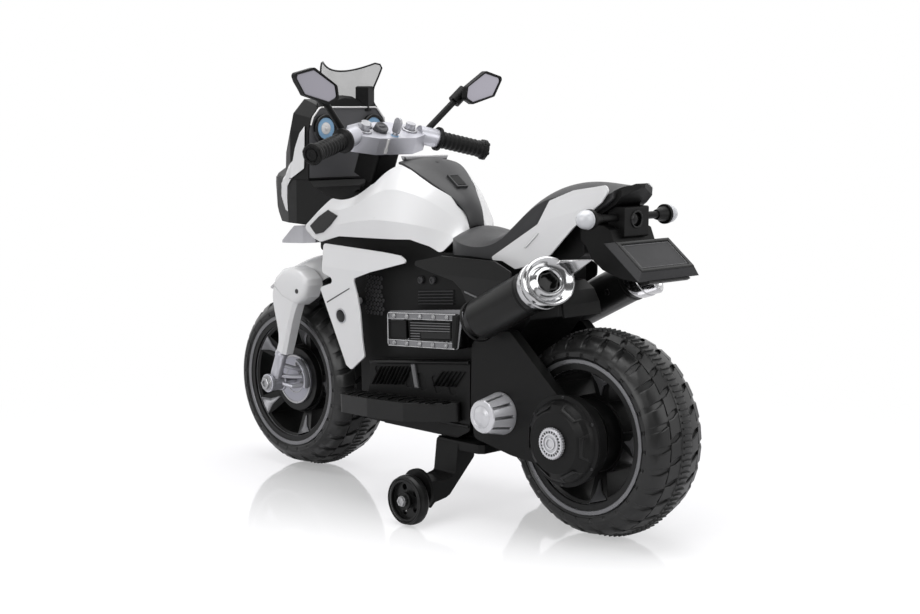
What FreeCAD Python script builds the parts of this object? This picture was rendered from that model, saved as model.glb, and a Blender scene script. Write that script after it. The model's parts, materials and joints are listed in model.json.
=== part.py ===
import FreeCAD, Part
import math
import os
import re
from types import SimpleNamespace

from FreeCAD import Placement, Rotation, Vector

doc = FreeCAD.newDocument("kids_motorbike")

# Driving sizes: millimetres, degrees and counts
SIZES = {
    # grid that the fairing outlines follow: axle to axle, ground to tank top, centre to tank side
    "wheel_base": 732,
    "body_height": 595,
    "body_half_width": 118,
    # fits and walls that every piece shares
    "run_gap": 0.05,
    "seat_gap": 0.3,
    "cut_overrun": 2,
    "panel_wall": 3,
    "corner_round": 6,
    "boss_radius": 6,
    # road wheels
    "tyre_radius": 168,
    "tyre_half_width": 65,
    "bead_radius": 125,
    "bead_half": 60,
    "barrel_radius": 117,
    "barrel_half": 54,
    "barrel_wall": 9,
    "band_half": 10,
    "band_depth": 4,
    "groove_width": 4,
    "lug_count": 28,
    "lug_slant": 18,
    "hub_radius": 60,
    "hub_half": 62,
    "front_hub_half": 44,
    "web_half": 30,
    "spoke_count": 5,
    "window_angle": 50,
    "window_margin": 5,
    "axle_radius": 6,
    "disc_radius": 47,
    "disc_thick": 4,
    "disc_gap": 2,
    # steering and fork, measured along the fork from the front axle
    "rake": 22,
    "fork_offset": 13,
    "fork_length": 500,
    "leg_spread": 97,
    "leg_radius": 11,
    "leg_length": 100,
    "lug_radius": 17,
    "lug_half": 18,
    "caliper_long": 44,
    "caliper_wide": 16,
    "front_axle_half": 119,
    "guard_foot": 70,
    "crown_foot": 204,
    "crown_tall": 20,
    "crown_half": 112,
    "crown_depth": 42,
    "stem_radius": 11,
    "bush_foot": 268,
    "bush_tall": 137,
    "bush_wall": 6,
    "fender_wall": 3,
    "fender_half": 82,
    "fender_reach": 262,
    "post_foot": 425,
    "post_half": 26,
    "post_depth": 54,
    # handlebar and what it carries
    "clamp_foot": 486,
    "clamp_tall": 32,
    "clamp_half": 88,
    "clamp_depth": 70,
    "stub_radius": 17,
    "stub_length": 38,
    "bar_radius": 10,
    "bar_length": 138,
    "bar_sweep": 20.4,
    "bar_droop": 5.2,
    "grip_radius": 16,
    "grip_flange": 22,
    "grip_flange_thick": 5,
    "grip_rib_count": 9,
    "grip_rib_deep": 1.2,
    "mirror_arm_radius": 6,
    "mirror_root_ahead": 12,
    "mirror_root_in": 4,
    "mirror_socket": 25,
    "mirror_depth": 20,
    "mirror_taper": 10,
    "mirror_lip": 4,
    "glass_thick": 2,
    "button_radius": 9,
    "button_tall": 14,
    "button_spread": 55,
    "button_deep": 10,
    "button_travel": 3,
    "key_radius": 5,
    "key_deep": 14,
    "key_bow_wide": 18,
    "key_bow_tall": 29,
    "key_bow_thick": 4,
    # chassis shells
    "core_half": 68,
    "belly_half": 92,
    "engine_half": 96,
    "louvre_count": 6,
    "louvre_pitch": 36,
    "engine_cover_thick": 20,
    "engine_field_deep": 3,
    "engine_slot_count": 5,
    "engine_slot_pitch": 10,
    # drive at the rear hub
    "gear_module": 2,
    "gear_teeth": 44,
    "pinion_teeth": 9,
    "gear_thick": 9,
    "tooth_fill": 0.4,
    "motor_radius": 14,
    "motor_inner": 77,
    "motor_length": 22,
    "motor_shaft": 2.5,
    "motor_tilt": 20,
    "arm_inner": 78,
    "arm_thick": 20,
    "hub_cover_radius": 73,
    "hub_cover_tall": 27,
    "hub_disc_radius": 24,
    "hub_disc_thick": 6,
    "rear_axle_half": 121,
    "pivot_radius": 35,
    "pivot_tip_radius": 27,
    "pivot_tall": 42,
    "pivot_slot_count": 10,
    "pivot_slot_wide": 5,
    # stabiliser wheels
    "trainer_radius": 42,
    "trainer_half_width": 11,
    "trainer_spread": 188,
    "trainer_hub_radius": 13,
    "trainer_bolt_radius": 5,
    "trainer_bolt_head": 9,
    "trainer_arm_wide": 52,
    "trainer_back_radius": 35,
    "trainer_back_rise": 14,
    "trainer_back_thick": 6,
    "trainer_plate_thick": 15,
    # exhausts
    "muffler_radius": 34,
    "muffler_length": 160,
    "muffler_nose": 34,
    "muffler_nose_radius": 15,
    "muffler_spread": 126,
    "muffler_rise": 26.6,
    "cap_length": 50,
    "cap_bore": 20,
    "cap_bore_deep": 36,
    # seat and tail
    "tray_half": 38,
    "mudguard_half": 45,
    "mudguard_wall": 4,
    "holder_half": 50,
    "plate_half": 75,
    "plate_tall": 88,
    "plate_thick": 10,
    "plate_bevel": 10,
    "lamp_half": 29.6,
    "lamp_hole": 12,
    "stalk_radius": 6,
    "stalk_length": 40,
    "pod_length": 24,
    "lens_length": 24,
    "pod_radius": 14,
    "lens_tip_radius": 8,
    # front fairing
    "nose_half": 93,
    "cowl_half": 96,
    "dial_radius": 25,
    "dial_thick": 10,
    "dial_spread": 58,
    "dash_thick": 5,
    "shield_wall": 2.5,
    "cheek_thick": 3,
    "headlight_thick": 8,
    "beak_half": 45,
    "beak_post_half": 12,
    # footboards
    "board_thick": 32,
    "board_tilt": 3,
    "board_rib_count": 9,
    "board_rib_pitch": 26,
    "board_rib_deep": 2,
    "pedal_long": 84,
    "pedal_half": 19,
    "pedal_thick": 8,
    "pedal_pin_radius": 3,
    "pedal_tilt": 9,
    # battery and control box
    "battery_long": 150,
    "battery_half": 40,
    "battery_tall": 98,
    "control_long": 100,
    "control_half": 34,
    "control_tall": 28,
    # switch on the tank strip
    "rocker_long": 26,
    "rocker_half": 10,
    "rocker_thick": 9,
    "rocker_frame": 3,
    "rocker_pin_radius": 2,
    "rocker_lean": 37,
    "rocker_swing_gap": 1.2,
    "strip_wall": 4,
    "strip_boss_tall": 38,
}

sheet = doc.addObject("Spreadsheet::Sheet", "sizes")
for row, (alias, value) in enumerate(SIZES.items(), start=1):
    sheet.set("A%d" % row, alias)
    sheet.set("B%d" % row, str(value))
    sheet.setAlias("B%d" % row, alias)
doc.recompute()
s = SimpleNamespace(**{alias: float(sheet.get(alias)) for alias in SIZES})

UP = Vector(0, 0, 1)
ACROSS = Vector(0, 1, 0)
SIZE_NAME = re.compile(r"[a-z][a-z_]+")
NODES = {}


# General helpers

def bind(thing, **formulas):
    """Tie properties to formulas on the sheet's named sizes."""
    for name, formula in formulas.items():
        thing.setExpression(name.replace("__", "."), SIZE_NAME.sub(r"sizes.\g<0>", formula))


def keep(thing, label):
    """List a finished sub-part under its node name."""
    thing.Label = label
    NODES[label] = thing
    return thing


def side(shares):
    """Side-view points, x along the wheel base and z up the body."""
    return [Vector(x * s.wheel_base, z * s.body_height, 0) for x, z in shares]


def front(shares):
    """Front-view points, y across the body and z up it."""
    return [Vector(y * s.body_half_width, z * s.body_height, 0) for y, z in shares]


def plan(shares):
    """Top-view points, x along the wheel base and y across the body."""
    return [Vector(x * s.wheel_base, y * s.body_half_width, 0) for x, y in shares]


def polygon(points):
    """Straight closed outline."""
    return [Part.LineSegment(a, b) for a, b in zip(points, points[1:] + points[:1])]


def rounded(points, radius):
    """Closed outline whose corners are arcs, each as large as its two sides allow."""
    reach_share = 0.45
    starts = []
    ends = []
    arcs = []
    count = len(points)
    for index, here in enumerate(points):
        back = points[index - 1] - here
        ahead = points[(index + 1) % count] - here
        reach_limit = reach_share * min(back.Length, ahead.Length)
        back.normalize()
        ahead.normalize()
        half = back.getAngle(ahead) / 2
        reach = min(radius / math.tan(half), reach_limit)
        bend = reach * math.tan(half)
        starts.append(here + back * reach)
        ends.append(here + ahead * reach)
        middle = back + ahead
        if middle.Length < 1e-3:
            arcs.append(Part.LineSegment(starts[-1], ends[-1]))
            continue
        middle.normalize()
        top = here + middle * (bend / math.sin(half) - bend)
        arcs.append(Part.Arc(starts[-1], top, ends[-1]))
    outline = []
    for index, arc in enumerate(arcs):
        outline.append(arc)
        outline.append(Part.LineSegment(ends[index], starts[(index + 1) % count]))
    return outline


def chamfered(points, corner):
    """Closed run of points whose corners are cut flat."""
    count = len(points)
    run = []
    for index, here in enumerate(points):
        for other in (points[index - 1], points[(index + 1) % count]):
            run.append(here + (other - here).normalize() * corner)
    return run


def circle(x, y, radius):
    """Round outline."""
    return [Part.Circle(Vector(x, y, 0), UP, radius)]


def offset_run(points, wall):
    """Open run of points moved to its right by the wall, square to the run."""
    moved = []
    last = len(points) - 1
    for index, here in enumerate(points):
        before = here - points[index - 1] if index > 0 else points[1] - here
        after = points[index + 1] - here if index < last else before
        first = Vector(before.y, -before.x, 0).normalize()
        second = Vector(after.y, -after.x, 0).normalize()
        moved.append(here + (first + second) * (wall / (1 + first.dot(second))))
    return moved


def band(points, wall):
    """Closed strip of even thickness along a run of points."""
    return points + offset_run(points, wall)[::-1]


def new_body(label):
    """Empty body."""
    body = doc.addObject("PartDesign::Body", label)
    body.Label = label
    return body


def add_sketch(body, role, outline, height="0"):
    """Sketch on one of the body's own planes, raised by a formula."""
    sketch = body.newObject("Sketcher::SketchObject", body.Name + "_sketch")
    plane = next(item for item in body.Origin.OriginFeatures if item.Role == role)
    sketch.AttachmentSupport = [(plane, "")]
    sketch.MapMode = "FlatFace"
    sketch.addGeometry(outline, False)
    bind(sketch, AttachmentOffset__Base__z=height)
    return sketch


def pad(body, sketch, length, symmetric=False, reverse=False):
    """Add the sketch's outline, drawn out by a formula."""
    feature = body.newObject("PartDesign::Pad", body.Name + "_pad")
    feature.Profile = sketch
    feature.SideType = "Symmetric" if symmetric else "One side"
    feature.Reversed = reverse
    bind(feature, Length=length)
    body.Tip = feature
    return feature


def pocket(body, sketch, depth, symmetric=False, reverse=False):
    """Cut the sketch's outline, and stop if nothing was cut."""
    doc.recompute()
    before = body.Shape.Volume
    feature = body.newObject("PartDesign::Pocket", body.Name + "_pocket")
    feature.Profile = sketch
    feature.SideType = "Symmetric" if symmetric else "One side"
    feature.Reversed = reverse
    bind(feature, Length=depth)
    body.Tip = feature
    doc.recompute()
    noise_share = 1e-6
    if before - body.Shape.Volume < noise_share * before:
        raise ValueError("pocket cuts nothing: " + body.Label)
    return feature


def revolve(body, sketch, axis="H_Axis"):
    """Turn the sketch's outline round one of its own axes."""
    feature = body.newObject("PartDesign::Revolution", body.Name + "_turn")
    feature.Profile = sketch
    feature.ReferenceAxis = (sketch, [axis])
    feature.Angle = 360
    body.Tip = feature
    return feature


def loft_pad(body, sketches):
    """Add a straight-sided skin through sketches with equal corner counts."""
    feature = body.newObject("PartDesign::AdditiveLoft", body.Name + "_loft")
    feature.Profile = sketches[0]
    feature.Sections = sketches[1:]
    feature.Ruled = True
    body.Tip = feature
    return feature


def ring_pattern(body, original, count, role):
    """Repeat a feature evenly round one of the body's own axes."""
    feature = body.newObject("PartDesign::PolarPattern", body.Name + "_ring")
    feature.Originals = [original]
    axis = next(item for item in body.Origin.OriginFeatures if item.Role == role)
    feature.Axis = (axis, [""])
    feature.Angle = 360
    bind(feature, Occurrences=count)
    body.Tip = feature
    doc.recompute()
    return feature


def row_pattern(body, original, count, pitch):
    """Repeat a feature in a row towards the rear."""
    feature = body.newObject("PartDesign::LinearPattern", body.Name + "_row")
    feature.Originals = [original]
    axis = next(item for item in body.Origin.OriginFeatures if item.Role == "X_Axis")
    feature.Direction = (axis, [""])
    feature.Reversed = True
    bind(feature, Occurrences=count, Length="(%s - 1) * %s" % (count, pitch))
    body.Tip = feature
    doc.recompute()
    return feature


def turned(label, outline, axis_role="YZ_Plane", axis="H_Axis"):
    """Body turned from one closed outline."""
    body = new_body(label)
    revolve(body, add_sketch(body, axis_role, outline), axis)
    return body


def side_plate(label, outline, near, thick):
    """Plate on the left flank, from the near plane outwards."""
    body = new_body(label)
    pad(body, add_sketch(body, "XZ_Plane", outline, "-(%s)" % near), thick, reverse=True)
    return body


def slab(label, role, outline, length, height="0", symmetric=False):
    """Body drawn out from one outline on an origin plane."""
    body = new_body(label)
    pad(body, add_sketch(body, role, outline, height), length, symmetric)
    return body


def cylinder(label, radius, length, base, axis):
    """Round bar from a base point along an axis."""
    bar = doc.addObject("Part::Cylinder", label)
    bind(bar, Radius=radius, Height=length)
    bar.Placement = Placement(base, Rotation(UP, axis))
    return bar


def block(label, long, wide, tall, corner):
    """Box from its lowest corner."""
    box = doc.addObject("Part::Box", label)
    bind(box, Length=long, Width=wide, Height=tall)
    box.Placement = Placement(corner, Rotation())
    return box


def loft(label, wires, ruled=False):
    """Solid skin through closed wires."""
    feature = doc.addObject("Part::Feature", label)
    feature.Shape = Part.makeLoft(wires, True, ruled)
    return feature


def outline_wire(outline):
    """Closed wire from an outline's lines and arcs."""
    return Part.Wire(Part.__sortEdges__([piece.toShape() for piece in outline]))


def arched_wire(skin, lining):
    """Closed wire of an arched strip: outer arc, edge, inner arc, edge."""
    return Part.Wire([
        Part.Arc(*skin).toShape(),
        Part.makeLine(skin[2], lining[2]),
        Part.Arc(*lining[::-1]).toShape(),
        Part.makeLine(lining[0], skin[0]),
    ])


def wire(points):
    """Closed straight wire through points in space."""
    return Part.makePolygon(points + points[:1])


def cut(label, base, *tools):
    """Take each tool away from the base in turn."""
    for tool in tools:
        result = doc.addObject("Part::Cut", label)
        result.Base = base
        result.Tool = tool
        base = result
    return base


def common(label, first, second):
    """What two solids share."""
    result = doc.addObject("Part::Common", label)
    result.Base = first
    result.Tool = second
    return result


def fuse(label, *items):
    """One solid from several."""
    result = doc.addObject("Part::MultiFuse", label)
    result.Shapes = list(items)
    return result


def mirrored(label, source):
    """The same piece on the right flank."""
    twin = doc.addObject("Part::Mirroring", label)
    twin.Source = source
    twin.Normal = ACROSS
    return twin


def group(label, *items):
    """Several separate solids that share a node."""
    result = doc.addObject("Part::Compound", label)
    result.Links = list(items)
    return result


def keep_pair(label, left):
    """Left and right twins in one node."""
    return keep(group(label, left, mirrored(label + "_twin", left)), label)


def keep_sides(label, left):
    """Left and right twins as two nodes."""
    keep(left, label + "_left")
    keep(mirrored(label + "_twin", left), label + "_right")


def at_station(x, points):
    """Front-view points carried to their station along the bike."""
    return [Vector(x, point.x, point.y) for point in points]


FRONT_AXLE = Vector(s.wheel_base / 2, 0, s.tyre_radius)
REAR_AXLE = Vector(-s.wheel_base / 2, 0, s.tyre_radius)
FORK_TURN = Rotation(ACROSS, -s.rake)
FORK = Placement(FRONT_AXLE, FORK_TURN)
STEER_AXIS = FORK_TURN.multVec(UP)


def in_fork(x, y, z):
    """Point given in the fork's own frame, from the front axle up the leg."""
    return FORK.multVec(Vector(x, y, z))


def fork_place(thing, base=Vector()):
    """Put a body that is drawn in the fork's frame on the bike."""
    thing.Placement = FORK.multiply(Placement(base, Rotation()))
    return thing


# Road wheels: tyre with two rows of blocks each side, traction band, five-spoke rim

def tyre(label, centre):
    """Plastic tyre, open towards the rim, with two rows of slanted blocks on each flank."""
    rise = s.tyre_radius - s.bead_radius
    hollow_shares = [(0.55, 0.66), (0.72, 0.28)]
    skin_shares = [(1.0, 0.25), (0.9, 0.5), (0.72, 0.74), (0.46, 0.85)]
    seat = s.barrel_radius + s.seat_gap
    lip = s.bead_radius + s.seat_gap
    valley = s.tyre_radius - s.band_depth

    def at(share):
        return Vector(share[0] * s.tyre_half_width, s.bead_radius + share[1] * rise, 0)

    half = [at(share) for share in hollow_shares]
    half += [Vector(half[-1].x, seat, 0), Vector(s.barrel_half, seat, 0), Vector(s.barrel_half, lip, 0),
             Vector(s.bead_half, lip, 0)]
    half += [at(share) for share in skin_shares]
    half += [Vector(s.band_half + s.groove_width, valley, 0), Vector(s.band_half, valley, 0),
             Vector(s.band_half, s.tyre_radius, 0)]
    body = turned(label, polygon(half + [Vector(-point.x, point.y, 0) for point in half[::-1]]))
    body.Placement = Placement(centre, Rotation())

    inner_row_shares = [(0.215, 0.985, 0.85), (0.53, 0.93, 0.78)]
    outer_row_shares = [(0.575, 0.91, 0.74), (0.8, 0.76, 0.56), (0.965, 0.49, 0.24)]
    step = 2 * math.pi / s.lug_count
    half_block = step / 2 - s.groove_width / (2 * s.tyre_radius)
    lean = math.tan(math.radians(s.lug_slant)) / s.tyre_radius

    def block_outline(turn, tip, root):
        corners = [(root, -half_block), (tip, -half_block), (tip, 0), (tip, half_block),
                   (root, half_block)]
        return polygon([Vector(r * math.sin(turn + angle), r * math.cos(turn + angle), 0) for r,
                        angle in corners])

    for shares, twist, phase in ((inner_row_shares, lean, 0), (outer_row_shares, -lean, step / 2)):
        for flank in (1, -1):
            sketches = []
            for across_share, tip_share, root_share in shares:
                turn = phase + twist * (across_share - shares[0][0]) * s.tyre_half_width
                outline = block_outline(turn, at((0, tip_share)).y, at((0, root_share)).y)
                height = "%d * %s * tyre_half_width" % (-flank, across_share)
                sketches.append(add_sketch(body, "XZ_Plane", outline, height))
            ring_pattern(body, loft_pad(body, sketches), "lug_count", "Y_Axis")
    return body


def rim(label, centre, hub_half):
    """Barrel, hub drum and five deep spokes left between the windows."""
    inside = s.barrel_radius - s.barrel_wall
    bore = s.axle_radius + s.run_gap
    run = [(hub_half, bore), (hub_half, s.hub_radius), (s.web_half, s.hub_radius),
           (s.barrel_half, inside), (s.bead_half, inside), (s.bead_half, s.bead_radius),
           (s.barrel_half, s.bead_radius), (s.barrel_half, s.barrel_radius)]
    points = [Vector(y, r, 0) for y, r in run] + [Vector(-y, r, 0) for y, r in run[::-1]]
    body = turned(label, polygon(points))
    body.Placement = Placement(centre, Rotation())

    near = s.hub_radius + s.window_margin
    far = inside - s.window_margin
    spread = math.radians(s.window_angle / 2)

    def at(radius, angle):
        return Vector(radius * math.cos(angle), radius * math.sin(angle), 0)

    window = [
        Part.Arc(at(far, -spread), at(far, 0), at(far, spread)),
        Part.LineSegment(at(far, spread), at(near, spread)),
        Part.Arc(at(near, spread), at(near, 0), at(near, -spread)),
        Part.LineSegment(at(near, -spread), at(far, -spread)),
    ]
    hole = pocket(body, add_sketch(body, "XZ_Plane", window), "4 * bead_half", symmetric=True)
    ring_pattern(body, hole, "spoke_count", "Y_Axis")
    return body


for end, centre, hub_half in (("front", FRONT_AXLE, s.front_hub_half), ("rear", REAR_AXLE, s.hub_half)):
    keep(tyre(end + "_tyre", centre), end + "_tyre")
    keep(rim(end + "_rim", centre, hub_half), end + "_rim")

disc_blank = cylinder("disc_blank", "disc_radius", "disc_thick", FRONT_AXLE + ACROSS * s.front_hub_half,
                      ACROSS)
disc_bore = cylinder("disc_bore", "axle_radius + run_gap", "disc_thick + 2 * cut_overrun",
                     FRONT_AXLE + ACROSS * (s.front_hub_half - s.cut_overrun), ACROSS)
keep_pair("brake_discs", cut("brake_disc", disc_blank, disc_bore))


# Fork, steering stem and front fender

leg = cylinder("fork_leg", "leg_radius", "leg_length", in_fork(0, s.leg_spread, 0), STEER_AXIS)
lug = cylinder("axle_lug", "lug_radius", "2 * lug_half",
               FRONT_AXLE + ACROSS * (s.leg_spread - s.lug_half), ACROSS)
caliper_shares = [(-0.9, 0.2), (-0.9, 0.9), (-0.3, 1.0), (0.1, 0.7), (0.1, 0.1)]
caliper_outline = rounded([Vector(x * s.caliper_long, z * s.caliper_long, 0) for x,
                           z in caliper_shares],
                          s.corner_round)
caliper_near = "front_hub_half + disc_thick + disc_gap"
caliper = side_plate("caliper", caliper_outline, caliper_near,
                     "leg_spread + caliper_wide / 2 - (%s)" % caliper_near)
caliper.Placement = FORK
axle_hole = cylinder("fork_axle_hole", "axle_radius + run_gap", "2 * leg_spread - front_hub_half",
                     FRONT_AXLE + ACROSS * s.front_hub_half, ACROSS)
fork_lower = cut("fork_lower", fuse("fork_lower_blank", leg, lug, caliper), axle_hole)
keep_pair("fork_legs", fork_lower)

# White fork guards: bevelled sections that flare forward towards the fender
guard_sections_shares = [
    (0.0, -1.8, 0.75, -1.36, 1.18),
    (0.38, -1.7, 2.1, -1.3, 1.45),
    (0.7, -1.7, 4.6, -1.18, 1.55),
    (1.0, -2.1, 4.2, -1.18, 1.36),
]
guard_top = s.crown_foot - s.seat_gap
guard_wires = []
for up, back, ahead, inner, outer in guard_sections_shares:
    z = s.guard_foot + up * (guard_top - s.guard_foot)
    corners = [Vector(x * s.leg_radius, s.leg_spread + y * s.leg_radius, 0)
               for x, y in ((back, inner), (ahead, inner), (ahead, outer), (back, outer))]
    guard_wires.append(wire([point + UP * z for point in chamfered(corners, s.corner_round)]))
guard_skin = loft("guard_skin", guard_wires)
guard_skin.Placement = FORK
guard_bore = cylinder("guard_bore", "leg_radius + run_gap", "leg_length + seat_gap",
                      in_fork(0, s.leg_spread, 0), STEER_AXIS)
keep_pair("fork_guards", cut("fork_guard", guard_skin, guard_bore))

crown_back_share = -0.8
crown_shares = [(0.2, -1.0), (0.2, 1.0), (crown_back_share, 1.0), (crown_back_share, -1.0)]
crown = slab("fork_crown", "XY_Plane",
             rounded([Vector(x * s.crown_depth, y * s.crown_half, 0) for x, y in crown_shares],
                     2 * s.corner_round),
             "crown_tall", "crown_foot")
crown.Placement = FORK
stem = cylinder("stem_tube", "stem_radius", "clamp_foot - crown_foot",
                in_fork(-s.fork_offset, 0, s.crown_foot), STEER_AXIS)
keep(fuse("steering_stem", crown, stem), "steering_stem")

bush = cylinder("bush_blank", "stem_radius + run_gap + bush_wall", "bush_tall",
                in_fork(-s.fork_offset, 0, s.bush_foot), STEER_AXIS)
bush_bore = cylinder("bush_bore", "stem_radius + run_gap", "bush_tall + 2 * cut_overrun",
                     in_fork(-s.fork_offset, 0, s.bush_foot - s.cut_overrun), STEER_AXIS)
keep(cut("steering_bush", bush, bush_bore), "steering_bush")

# Fender: arched sections that fan out round the front of the tyre
fender_sections_shares = [(-8, 1.0, 0.87, 0.967), (22, 0.97, 0.72, 0.862), (40, 0.73, 0.695, 0.763),
                          (52, 0.15, 0.71, 0.725)]
fender_wires = []
for angle, half, edge, top in fender_sections_shares:
    lean = Rotation(ACROSS, angle)
    wide = half * s.fender_half
    low = edge * s.fender_reach
    high = top * s.fender_reach
    skin = [Vector(0, -wide, low), Vector(0, 0, high), Vector(0, wide, low)]
    lining = [Vector(0, -wide + s.fender_wall, low), Vector(0, 0, high - s.fender_wall),
              Vector(0, wide - s.fender_wall, low)]
    fender_wires.append(arched_wire([lean.multVec(point) for point in skin],
                                    [lean.multVec(point) for point in lining]))
fender_skin = loft("fender_skin", fender_wires)
fender_skin.Placement = FORK
crown_room = block("crown_room", "crown_depth + 2 * seat_gap", "2 * crown_half + 2 * seat_gap",
                   "crown_tall + cut_overrun + seat_gap", Vector())
fork_place(crown_room, Vector(crown_back_share * s.crown_depth - s.seat_gap, -s.crown_half - s.seat_gap,
                              s.crown_foot - s.cut_overrun))
stem_room = cylinder("stem_room", "stem_radius + seat_gap", "fender_reach",
                     in_fork(-s.fork_offset, 0, s.crown_foot), STEER_AXIS)
keep(cut("front_fender", fender_skin, crown_room, stem_room), "front_fender")

keep(cylinder("front_axle", "axle_radius", "2 * front_axle_half",
              FRONT_AXLE - ACROSS * s.front_axle_half, ACROSS), "front_axle")


# Handlebar, grips, mirrors, key and buttons, drawn in the fork's frame

def bar_between(label, radius, start, end):
    """Round bar from one point to another."""
    bar = doc.addObject("Part::Cylinder", label)
    bind(bar, Radius=radius)
    bar.Height = (end - start).Length
    bar.Placement = Placement(start, Rotation(UP, end - start))
    return bar


clamp_shares = [(0.5, 0.4), (0.3, 0.84), (0, 1), (-0.3, 1), (-0.55, 0.5),
                (-0.55, -0.5), (-0.3, -1), (0, -1), (0.3, -0.84), (0.5, -0.4)]
clamp_points = [Vector(x * s.clamp_depth - s.fork_offset, y * s.clamp_half, 0) for x, y in clamp_shares]
clamp = slab("bar_clamp", "XY_Plane", rounded(clamp_points, s.corner_round), "clamp_tall", "clamp_foot")
clamp.Placement = FORK
clamp_top = s.clamp_foot + s.clamp_tall

sweep = math.radians(s.bar_sweep)
droop = math.radians(s.bar_droop)
BAR_RUN = Vector(-math.sin(sweep) * math.cos(droop), math.cos(sweep) * math.cos(droop),
                 -math.sin(droop))
bar_root_shares = (-0.3, 0.87, 0.8)
bar_root = Vector(bar_root_shares[0] * s.clamp_depth, bar_root_shares[1] * s.clamp_half,
                  s.clamp_foot + bar_root_shares[2] * s.clamp_tall)


def along_bar(distance):
    """Point on the left bar's axis, from its root in the clamp."""
    return FORK.multVec(bar_root + BAR_RUN * distance)


stub = cylinder("bar_stub", "stub_radius", "stub_length", along_bar(0), FORK_TURN.multVec(BAR_RUN))
bar = cylinder("bar_tube", "bar_radius", "bar_length", along_bar(0), FORK_TURN.multVec(BAR_RUN))
mirror_root_share = 0.58
mirror_root = along_bar(mirror_root_share * s.stub_length)
mirror_root += FORK_TURN.multVec(Vector(s.mirror_root_ahead, -s.mirror_root_in, 0))
mirror_knuckle_shares = (-0.02, 0.312, 1.142)
mirror_knuckle = in_fork(*[share * s.fork_length for share in mirror_knuckle_shares])
MIRROR_RUN = (mirror_knuckle - mirror_root).normalize()
mirror_tip = mirror_knuckle + MIRROR_RUN * s.mirror_socket
arm_room = bar_between("mirror_arm_room", "mirror_arm_radius + run_gap", mirror_root, mirror_tip)
mirror_arm = bar_between("mirror_arm", "mirror_arm_radius", mirror_root, mirror_tip)
button_x = -s.fork_offset - s.button_radius / 2
button_room = cylinder("button_room", "button_radius + run_gap",
                       "button_deep + button_travel + clamp_tall",
                       in_fork(button_x, s.button_spread, clamp_top - s.button_deep - s.button_travel),
                       STEER_AXIS)
half_bar = fuse("half_bar", stub, bar)
bars = fuse("handlebar_blank", clamp, half_bar, mirrored("half_bar_twin", half_bar))
key_x_share = -0.39
key_x = key_x_share * s.clamp_depth - s.fork_offset
key_room = cylinder("key_room", "key_radius + run_gap", "key_deep + clamp_tall",
                    in_fork(key_x, 0, clamp_top - s.key_deep), STEER_AXIS)
handlebar = cut("handlebar", bars, arm_room, mirrored("mirror_arm_room_twin", arm_room), button_room,
                mirrored("button_room_twin", button_room), key_room)
keep(handlebar, "handlebar")
keep_pair("mirror_arms", mirror_arm)

grip_bore = s.bar_radius + s.run_gap
grip_end = s.bar_length - s.stub_length + s.panel_wall
grip_run = [(grip_bore, 0), (s.grip_flange, 0), (s.grip_flange, s.grip_flange_thick)]
rib_start = 2 * s.grip_flange_thick
rib_pitch = (grip_end - 2 * rib_start) / s.grip_rib_count
for index in range(int(s.grip_rib_count)):
    low = rib_start + index * rib_pitch
    grip_run += [(s.grip_radius - s.grip_rib_deep, low), (s.grip_radius, low + rib_pitch / 2)]
grip_run += [(s.grip_radius, grip_end - rib_start), (s.grip_flange - s.panel_wall,
                                                     grip_end - s.grip_flange_thick),
             (s.grip_flange - s.panel_wall, grip_end), (0, grip_end),
             (0, s.bar_length - s.stub_length), (grip_bore, s.bar_length - s.stub_length)]
grip = turned("grip", polygon([Vector(r, z, 0) for r, z in grip_run]), "XZ_Plane", "V_Axis")
grip.Placement = Placement(along_bar(s.stub_length + s.seat_gap),
                           Rotation(UP, FORK_TURN.multVec(BAR_RUN)))
keep_pair("grips", grip)

# Mirrors: a faceted housing that swivels on its arm, with glass in a recess
mirror_outline_shares = [(0.5, 0.32), (0.04, 0.5), (-0.46, 0.02), (-0.5, -0.35), (-0.31, -0.5),
                         (0.27, -0.26)]
mirror_wide_share = 0.2
mirror_tall_share = 0.124
mirror_centre_shares = (-0.046, 0.404, 1.209)
mirror_centre = in_fork(*[share * s.fork_length for share in mirror_centre_shares])


def mirror_outline(inset):
    """Outline of the mirror in the front view, drawn in by an inset."""
    wide = mirror_wide_share * s.fork_length - 2 * inset
    tall = mirror_tall_share * s.fork_length - 2 * inset
    return rounded([Vector(y * wide, z * tall, 0) for y, z in mirror_outline_shares], s.corner_round)


def mirror_wire(inset, ahead):
    """Outline of the mirror as a wire, in the mirror's own frame."""
    loop = outline_wire(mirror_outline(inset))
    loop.Placement = Placement(Vector(ahead, 0, 0), Rotation(Vector(1, 1, 1), 120))
    return loop


MIRROR = Placement(mirror_centre, Rotation())
mirror_shell = loft("mirror_shell", [mirror_wire(0, -s.mirror_depth / 2), mirror_wire(0, 0),
                                     mirror_wire(s.mirror_taper, s.mirror_depth / 2)], ruled=True)
mirror_shell.Placement = MIRROR
glass_room = slab("glass_room", "YZ_Plane", mirror_outline(s.mirror_lip),
                  "glass_thick + mirror_lip / 2 + cut_overrun",
                  "-mirror_depth / 2 - cut_overrun")
glass_room.Placement = MIRROR
housing = cut("mirror_recessed", mirror_shell, glass_room)
socket = bar_between("mirror_socket", "2 * mirror_arm_radius", mirror_knuckle,
                     mirror_tip + MIRROR_RUN * s.mirror_arm_radius)
keep_sides("mirror_housing", cut("mirror_housing", fuse("mirror_blank", housing, socket), arm_room))
glass = slab("mirror_glass", "YZ_Plane", mirror_outline(s.mirror_lip + s.seat_gap), "glass_thick",
             "mirror_lip / 2 - mirror_depth / 2")
glass.Placement = MIRROR
keep_sides("mirror_glass", glass)

horn_button = cylinder("horn_button", "button_radius", "button_deep + button_tall",
                       in_fork(button_x, s.button_spread, clamp_top - s.button_deep), STEER_AXIS)
keep(horn_button, "horn_button")
keep(mirrored("music_button", horn_button), "music_button")

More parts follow.
